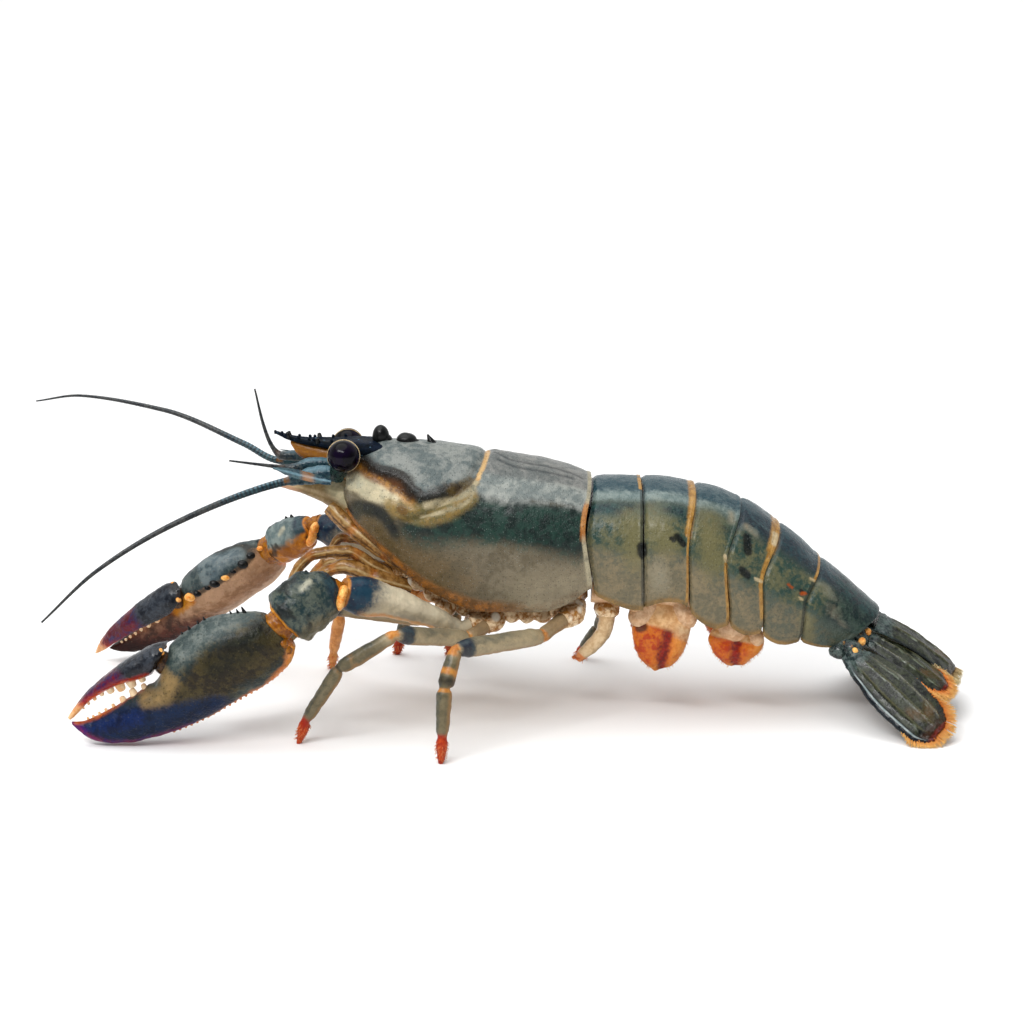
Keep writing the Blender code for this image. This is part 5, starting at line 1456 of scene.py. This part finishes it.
def make_looks():
    looks = {}
    looks["carapace"] = layered(
        "carapace_shell", ((98, 90, 74), (116, 107, 90)), (
            ("warm_low", (88, 74, 50), (102, 84, 58), 0.8),
            ("pale_low", (142, 132, 110), (126, 116, 96), 0.9),
            ("teal", (26, 48, 46), (46, 64, 58)),
            ("pale_back", (96, 100, 98), (126, 126, 122)),
            # Painted highlight: the sheen of the top light on the upper flank
            ("back_sheen", (112, 120, 118), (150, 154, 148), 0.85),
            ("back_lines", (50, 56, 58), (72, 74, 74), 0.7),
            ("cheek_cream", (204, 192, 160), (176, 168, 142), 0.95),
            ("cheek_cool", (140, 152, 142), (166, 166, 148), 0.7),
            # Painted shade in the groove below the cream cheek
            ("groove_shade", (36, 44, 42), (58, 58, 48), 0.95),
            ("cheek_orange", (168, 116, 50), (112, 74, 28), 0.85),
            # Painted shadow cast by the ridge at the mask's lower edge onto the cheek
            ("cheek_ridge_shadow", (52, 32, 10), (86, 56, 20), 0.92),
            ("arc", (140, 116, 70), (106, 96, 62), 0.85),
            ("tan_spot", (84, 54, 24), (108, 78, 40), 0.7),
            ("mask", (88, 98, 98), (132, 136, 132), 0.95),
            # Partly the shell's dark brown marking, partly painted shadow under the mask's ridge
            ("mask_edge", (22, 15, 7), (40, 31, 18), 0.95),
            ("olive_patch", (60, 50, 24), (84, 70, 38), 0.85),
            ("neck_low", (134, 130, 108), (178, 164, 132), 0.75),
            ("neck", (196, 164, 116), (178, 138, 88)),
            ("rim", (176, 166, 138), (138, 132, 112), 0.9),
            ("rim_orange", (150, 92, 40), (172, 118, 62), 0.9),
            ("edge", (150, 98, 50), (100, 72, 46)),
            ("below", (136, 108, 74), (108, 82, 54)),
        ), gloss=(0.24, 0.42), grain=(0.42, 0.13), speckle=((176, 186, 180), 0.42, 0.3, 0.45, 0.26),
        pits=((24, 30, 32), 0.5, 0.36, 0.4, 0.45), specular=0.22, coat=0.06)
    looks["rostrum"] = layered(
        "rostrum_shell", ((12, 24, 34), (26, 42, 54)), (), gloss=(0.4, 0.55), grain=(0.45, 0.08),
        speckle=((110, 146, 170), 0.9, 0.3, 0.25, 0.6), specular=0.04, coat=0.0)
    looks["ring"] = layered(
        "ring_shell", ((78, 88, 80), (60, 72, 66)), (
            ("low", (112, 104, 84), (136, 122, 96), 0.85),
            ("deep", (58, 74, 68), (98, 98, 76)),
            ("below_sheen_band", (24, 50, 54), (46, 70, 70), 0.95),
            ("top", (46, 68, 76), (72, 88, 92)),
            ("deep_top", (24, 46, 54), (44, 64, 70), 0.9),
            ("teal_end", (22, 46, 48), (44, 66, 64), 0.8),
            # Painted highlight: the sheen of the top light along each ring's upper flank
            ("sheen_band", (104, 120, 120), (134, 146, 142), 0.75),
            ("olive", (134, 122, 82), (114, 108, 76), 0.55),
            ("pale", (164, 152, 128), (138, 136, 120), 0.5),
            ("dark_rim", (22, 36, 42), (36, 50, 52), 0.6),
            ("gold", (180, 138, 76), (146, 104, 50), 0.85),
            ("dark", (12, 18, 26), (24, 32, 36), 0.9),
            ("brown", (160, 80, 34), (116, 56, 24), 0.9),
            ("cream", (186, 170, 138), (166, 146, 110), 0.9),
            ("edge", (146, 116, 74), (116, 96, 66)),
            ("below", (168, 138, 100), (148, 116, 80)),
        ), gloss=(0.2, 0.36), grain=(0.5, 0.09), speckle=((150, 166, 164), 0.5, 0.28, 0.35, 0.2),
        pits=((22, 30, 34), 0.6, 0.32, 0.35, 0.35), cloud_width=3.4, specular=0.22, coat=0.08)
    claw_layers = (
        ("highlight", (98, 108, 106), (136, 142, 138), 0.4),
        ("granular", (54, 48, 32), (76, 66, 42), 0.9),
        ("deep_middle", (38, 40, 30), (54, 52, 36), 0.8),
        ("dark", (30, 38, 40), (48, 52, 48), 0.7),
        ("blue", (16, 38, 58), (26, 50, 72)),
        ("navy", (12, 34, 62), (24, 50, 84)),
        ("cream", (150, 124, 84), (120, 100, 68), 0.8),
        ("purple", (132, 48, 88), (70, 34, 100), 0.9),
        ("orange_edge", (228, 150, 92), (196, 112, 60)),
        ("orange_bite", (206, 116, 62), (160, 74, 46)),
        ("gold", (206, 140, 52), (176, 106, 36)),
    )
    looks["palm_left"] = layered(
        "near_palm_shell", ((56, 66, 66), (84, 92, 88)), claw_layers, gloss=(0.3, 0.46), grain=(0.55, 0.1),
        speckle=((140, 134, 104), 0.5, 0.3, 0.4, 0.16), pits=((18, 20, 16), 0.6, 0.4, 0.45, 0.4),
        cloud_width=3.5, specular=0.14, coat=0.04)
    warm_layers = [layer for layer in claw_layers if layer[0] in ("orange_edge", "orange_bite", "gold")]
    far_layers = [
        ("deep_middle", (150, 108, 76), (122, 84, 56), 0.6),
        ("cream", (206, 172, 138), (184, 146, 112), 0.8),
        ("purple", (84, 34, 30), (54, 28, 28), 0.92),
        ("dark", (44, 14, 12), (60, 24, 20), 0.9)] + warm_layers + [
        ("back", (54, 64, 66), (86, 94, 92)),
        ("highlight", (106, 122, 130), (134, 146, 150), 0.4),
        ("navy", (30, 34, 36), (52, 50, 44), 0.8)]
    looks["palm_right"] = layered(
        "far_palm_shell", ((180, 144, 114), (158, 124, 96)), far_layers, gloss=(0.34, 0.5), grain=(0.5, 0.06),
        speckle=((206, 180, 146), 0.5, 0.3, 0.3, 0.2), pits=((70, 46, 34), 0.6, 0.35, 0.3, 0.3),
        specular=0.15)
    looks["finger"] = layered(
        "finger_shell", ((36, 38, 46), (58, 60, 66)), (
            ("top", (34, 40, 48), (60, 64, 70)),
            ("magenta", (112, 30, 46), (56, 30, 76), 0.9),
            ("red", (206, 84, 44), (150, 44, 32), 0.9),
            ("tip", (226, 182, 134), (206, 144, 90)),
            ("hinge", (36, 30, 26), (54, 46, 36), 0.8),
        ), gloss=(0.2, 0.34), pits=((24, 22, 30), 0.7, 0.3, 0.4, 0.35), cloud_width=3.0, coat=0.12)
    wrist_layers = [
        ("blue", (26, 48, 60), (46, 66, 74), 0.9),
        ("low", (104, 98, 76), (122, 108, 82), 0.7),
        ("dark", (18, 28, 30), (34, 42, 38), 0.85),
        # Painted highlight on the upper side of the wrist
        ("pale", (186, 182, 160), (156, 156, 138), 0.8),
        ("gold", (206, 142, 58), (176, 108, 38)),
    ]
    looks["wrist_left"] = layered(
        "near_wrist_shell", ((44, 58, 60), (84, 90, 82)), wrist_layers, gloss=(0.28, 0.44), grain=(0.6, 0.08),
        speckle=((150, 158, 150), 0.5, 0.3, 0.35, 0.16), pits=((18, 24, 24), 0.6, 0.36, 0.4, 0.4),
        cloud_width=3.6, coat=0.08)
    wrist_layers[1] = ("low", (150, 92, 30), (186, 118, 44))
    looks["wrist_right"] = layered(
        "far_wrist_shell", ((92, 106, 106), (126, 136, 132)), wrist_layers, gloss=(0.28, 0.44),
        grain=(0.6, 0.06))
    looks["arm"] = layered(
        "arm_shell", ((170, 160, 138), (192, 178, 150)), (
            ("low", (206, 160, 106), (206, 138, 72), 0.9),
            ("pale", (214, 200, 172), (190, 180, 156), 0.8),
            ("navy", (22, 46, 62), (38, 64, 78)),
            ("gold", (196, 132, 60), (150, 96, 46)),
        ), gloss=(0.28, 0.44), grain=(0.6, 0.05), speckle=((206, 204, 186), 0.8, 0.28, 0.3, 0.2))
    looks["leg"] = layered(
        "leg_shell", ((150, 138, 112), (168, 152, 122)), (
            ("root", (146, 120, 88), (122, 100, 74), 0.8),
            ("shin", (88, 82, 66), (106, 98, 78), 0.9),
            ("streak", (56, 66, 66), (84, 84, 74), 0.6),
            ("low", (156, 116, 72), (132, 104, 70), 0.7),
            ("knee_navy", (20, 42, 58), (40, 60, 70), 0.9),
            ("knee_orange", (206, 138, 62), (180, 108, 46), 0.85),
            ("band_dark", (38, 40, 40), (58, 54, 44), 0.8),
            ("band", (200, 138, 68), (180, 114, 54), 0.8),
            ("tip", (184, 76, 34), (146, 50, 22)),
        ), gloss=(0.28, 0.46), grain=(0.5, 0.05), cloud_width=3.0, pits=((60, 50, 38), 0.7, 0.3, 0.3, 0.25))
    looks["leg_cream"] = layered(
        "small_leg_shell", ((214, 188, 150), (192, 160, 120)), (
            ("root", (206, 174, 134), (190, 156, 116), 0.7),
            ("tip", (204, 128, 76), (190, 106, 58), 0.9),
            ("low", (156, 134, 102), (140, 120, 92), 0.6),
        ), gloss=(0.26, 0.42), grain=(0.5, 0.03), cloud_width=2.5, coat=0.1)
    looks["belly"] = layered(
        "belly_skin", ((156, 108, 60), (232, 206, 168)), (("groove", (122, 84, 48), (160, 120, 76), 0.7),),
        gloss=(0.25, 0.42), grain=(0.7, 0.06), cloud_width=2.6, pits=((250, 244, 228), 2.6, 0.5, 0.5, 0.9))
    horns = {
        "spine": ("spine_horn", (12, 14, 16), (34, 38, 38), (0.28, 0.4), (0.3, 0.03)),
        "tooth": ("tooth_horn", (250, 226, 188), (236, 184, 130), (0.2, 0.35), (0.4, 0.03)),
        "saw_left": ("saw_left_edge", (236, 160, 102), (200, 118, 68), (0.3, 0.45), (0.4, 0.05)),
        "saw_right": ("saw_right_edge", (150, 110, 80), (120, 80, 56), (0.3, 0.45), (0.4, 0.05)),
    }
    for key, (name, first, second, gloss, grain) in horns.items():
        looks[key] = layered(name, (first, second), (), gloss, grain)
    plain = {
        "gold_skin": ("joint_skin", (160, 104, 38), (122, 74, 26)),
        "orange_knob": ("joint_knob", (246, 190, 112), (222, 134, 58)),
        "leg_tan": ("tan_leg_shell", (216, 154, 96), (186, 122, 70)),
        "cream_skin": ("fold_skin", (218, 182, 146), (192, 150, 112)),
        "dark_skin": ("claw_joint_skin", (52, 42, 34), (88, 64, 42)),
        "stalk": ("eye_stalk_shell", (22, 42, 44), (46, 60, 56)),
        "eye_cup": ("eye_rim", (196, 176, 140), (160, 136, 100)),
    }
    for key, (name, first, second) in plain.items():
        looks[key] = layered(name, (first, second), (), gloss=(0.2, 0.38), grain=(0.6, 0.04),
                             cloud_width=1.8, coat=0.1)
    looks["lobe"] = layered(
        "lobe_skin", ((196, 108, 48), (168, 66, 28)), (
            ("gold_side", (214, 142, 70), (196, 112, 48), 0.85),
            ("rim", (214, 148, 62), (196, 118, 50), 0.85),
            ("fold", (140, 30, 18), (96, 16, 12), 0.95),
            ("cream", (226, 184, 136), (200, 150, 100)),
            ("cream_side", (206, 180, 146), (186, 148, 108), 0.7),
            ("dark", (28, 30, 36), (44, 44, 44), 0.8),
        ), gloss=(0.22, 0.38), grain=(0.6, 0.04), cloud_width=2.4, coat=0.1)
    looks["feeler"] = layered(
        "feeler_shell", ((32, 58, 68), (62, 84, 88)), (
            # Painted highlight on the upper side of the feelers and along the feeler scale
            ("pale", (116, 146, 158), (84, 114, 126), 0.8),
            ("segment", (28, 38, 46), (48, 58, 62), 0.9),
            ("orange", (190, 126, 56), (150, 96, 44), 0.45),
            ("grey", (46, 46, 48), (72, 70, 68), 0.85),
        ), gloss=(0.22, 0.38), grain=(0.5, 0.03), cloud_width=2.0, coat=0.15)
    looks["chin"] = layered(
        "chin_skin", ((156, 132, 94), (130, 108, 74)), (
            ("pink", (200, 154, 122), (182, 134, 106), 0.9),
            ("dark", (122, 110, 84), (104, 94, 74), 0.8),
            ("stripe", (200, 178, 138), (170, 144, 106), 0.8),
            ("cheek", (196, 184, 150), (166, 158, 128), 0.9),
        ), gloss=(0.26, 0.42), grain=(0.6, 0.05), cloud_width=2.6)
    looks["brow"] = layered(
        "brow_skin", ((160, 106, 40), (116, 72, 26)), (("up", (104, 72, 32), (146, 98, 42), 0.8),),
        gloss=(0.26, 0.42), grain=(0.6, 0.05), cloud_width=2.2)
    looks["mouth_limb"] = layered(
        "mouth_limb_skin", ((164, 124, 76), (118, 84, 48)), (
            ("stripe", (206, 182, 138), (176, 146, 100), 0.9),
            ("dark", (58, 42, 28), (84, 60, 36), 0.9),
            ("joint", (186, 112, 52), (156, 88, 40), 0.5),
        ), gloss=(0.24, 0.4), grain=(0.5, 0.04), cloud_width=2.4, coat=0.25)
    looks["fan"] = layered(
        "fan_shell", ((28, 34, 30), (58, 62, 50)), (
            ("end", (70, 50, 30), (48, 42, 30), 0.7),
            ("spot", (96, 74, 40), (74, 62, 38), 0.6),
            ("rib", (104, 102, 72), (78, 78, 58), 0.5),
            ("rim", (12, 24, 34), (26, 40, 48)),
            ("base", (40, 54, 56), (84, 98, 96), 0.8),
            ("fringe_root", (84, 30, 18), (110, 46, 24), 0.9),
            ("shine", (160, 168, 152), (104, 112, 98), 0.75),
            # Painted highlight along the raised outer rim of the outer leaves
            ("line", (186, 196, 194), (130, 144, 144), 0.8),
        ), gloss=(0.16, 0.34), grain=(0.6, 0.06), cloud_width=2.6, specular=0.25,
        speckle=((150, 162, 154), 0.7, 0.28, 0.3, 0.15), coat=0.12)
    looks["tail_knob"] = layered(
        "tail_knob_shell", ((36, 50, 52), (84, 96, 92)), (), gloss=(0.16, 0.34), grain=(0.7, 0.12),
        pits=((30, 34, 34), 0.8, 0.4, 0.5, 0.5), speckle=((196, 138, 74), 1.2, 0.4, 0.3, 0.7),
        cloud_width=1.4, coat=0.4)

    bristles = {
        "fringe": ("fringe_bristle", (204, 104, 34), (250, 204, 122)),
        "pale_fringe": ("pale_fringe_bristle", (150, 110, 64), (232, 216, 168)),
        "setae": ("leg_bristle", (170, 62, 28), (222, 140, 86)),
    }
    for key, (name, root, tip) in bristles.items():
        finish = Finish(name, 0.3)
        finish.feed("Base Color", finish.mix(finish.paint("along"), linear(*root), linear(*tip)))
        finish.feed("Roughness", 0.4 + finish.cloud(1.0) * 0.2)
        looks[key] = finish.material
    eye = Finish("eye_glass", 0.08, 0.08, 0.08)
    eye.feed("Base Color", eye.mix(eye.cloud(3.0), linear(6, 4, 10), linear(26, 10, 44)))
    eye.feed("Roughness", 0.12 + eye.cloud(1.0) * 0.08)
    looks["eye"] = eye.material
    return looks


def make_studio():
    choose()
    bpy.ops.mesh.primitive_plane_add(size=FLOOR_SIZE, location=(0.0, 0.0, 0.0))
    floor = bpy.context.object
    floor.name = "studio_floor"
    paper = Finish("studio_paper", 0.1)
    paper.feed("Base Color", paper.mix(paper.cloud(300.0), (0.86, 0.86, 0.86, 1.0), (0.87, 0.87, 0.865, 1.0)))
    paper.feed("Roughness", 0.9)
    floor.data.materials.append(paper.material)

    # The room is bright above and behind, and dim in front
    world = bpy.data.worlds.new("studio_air")
    bpy.context.scene.world = world
    world.use_nodes = True
    tree = world.node_tree
    room = tree.nodes["Background"]
    room.inputs["Strength"].default_value = 1.0
    direction = tree.nodes.new("ShaderNodeTexCoord")
    parts = tree.nodes.new("ShaderNodeSeparateXYZ")
    tree.links.new(direction.outputs["Generated"], parts.inputs[0])
    depth = tree.nodes.new("ShaderNodeMapRange")
    depth.interpolation_type = "SMOOTHSTEP"
    depth.inputs["From Min"].default_value = -0.7
    depth.inputs["From Max"].default_value = 0.5
    depth.inputs["To Min"].default_value = ROOM_FRONT
    depth.inputs["To Max"].default_value = ROOM_BACK
    tree.links.new(parts.outputs["Y"], depth.inputs["Value"])
    tree.links.new(depth.outputs[0], room.inputs["Color"])

    def lamp(name, kind, energy, aim, place, size):
        data = bpy.data.lights.new(name, kind)
        data.energy = energy
        if kind == "SUN":
            data.angle = size
        else:
            data.shape = "RECTANGLE"
            data.size, data.size_y = size
        item = bpy.data.objects.new(name, data)
        item.location = place
        item.rotation_euler = turned(Vector(place) - Vector(aim))
        bpy.context.collection.objects.link(item)

    lamp("broad_top_light", "SUN", TOP_LIGHT, (0, 0, 0), (-0.2, -0.1, 1.0), TOP_SPREAD)
    lamp("front_softbox", "AREA", FRONT_LIGHT, (0.0, 0.0, 0.04), (-0.25, -0.5, 0.6), (0.6, 0.1))

    camera = bpy.data.objects.new("camera", bpy.data.cameras.new("camera"))
    bpy.context.collection.objects.link(camera)
    away = Vector((0.0, -math.cos(CAMERA_ELEVATION), math.sin(CAMERA_ELEVATION)))
    camera.location = CAMERA_TARGET + away * CAMERA_DISTANCE
    camera.rotation_euler = turned(away)
    camera.data.lens = CAMERA_LENS
    camera.data.sensor_width = SENSOR_WIDTH
    camera.data.clip_start = 0.01
    bpy.context.scene.camera = camera
    bpy.context.scene.view_settings.view_transform = "Standard"


def build():
    looks = make_looks()
    make_carapace(looks)
    make_breast(looks)
    make_abdomen(looks)
    make_head(looks)
    make_arm("left", NEAR, ARM_NEAR, WRIST_NEAR, CLAW_NEAR, looks)
    make_arm("right", FAR, ARM_FAR, WRIST_FAR, CLAW_FAR, looks)
    make_claw("left", NEAR, CLAW_NEAR, PALM_PAINT_NEAR, looks)
    make_claw("right", FAR, CLAW_FAR, PALM_PAINT_FAR, looks)
    for leg in LEGS:
        make_leg(*leg, looks)
    make_limb_roots("left", NEAR, ARM_NEAR, looks)
    make_limb_roots("right", FAR, ARM_FAR, looks)
    for which, side in SIDES:
        make_belly(which, side, looks)
    make_tail(looks)
    make_studio()
    choose()


build()
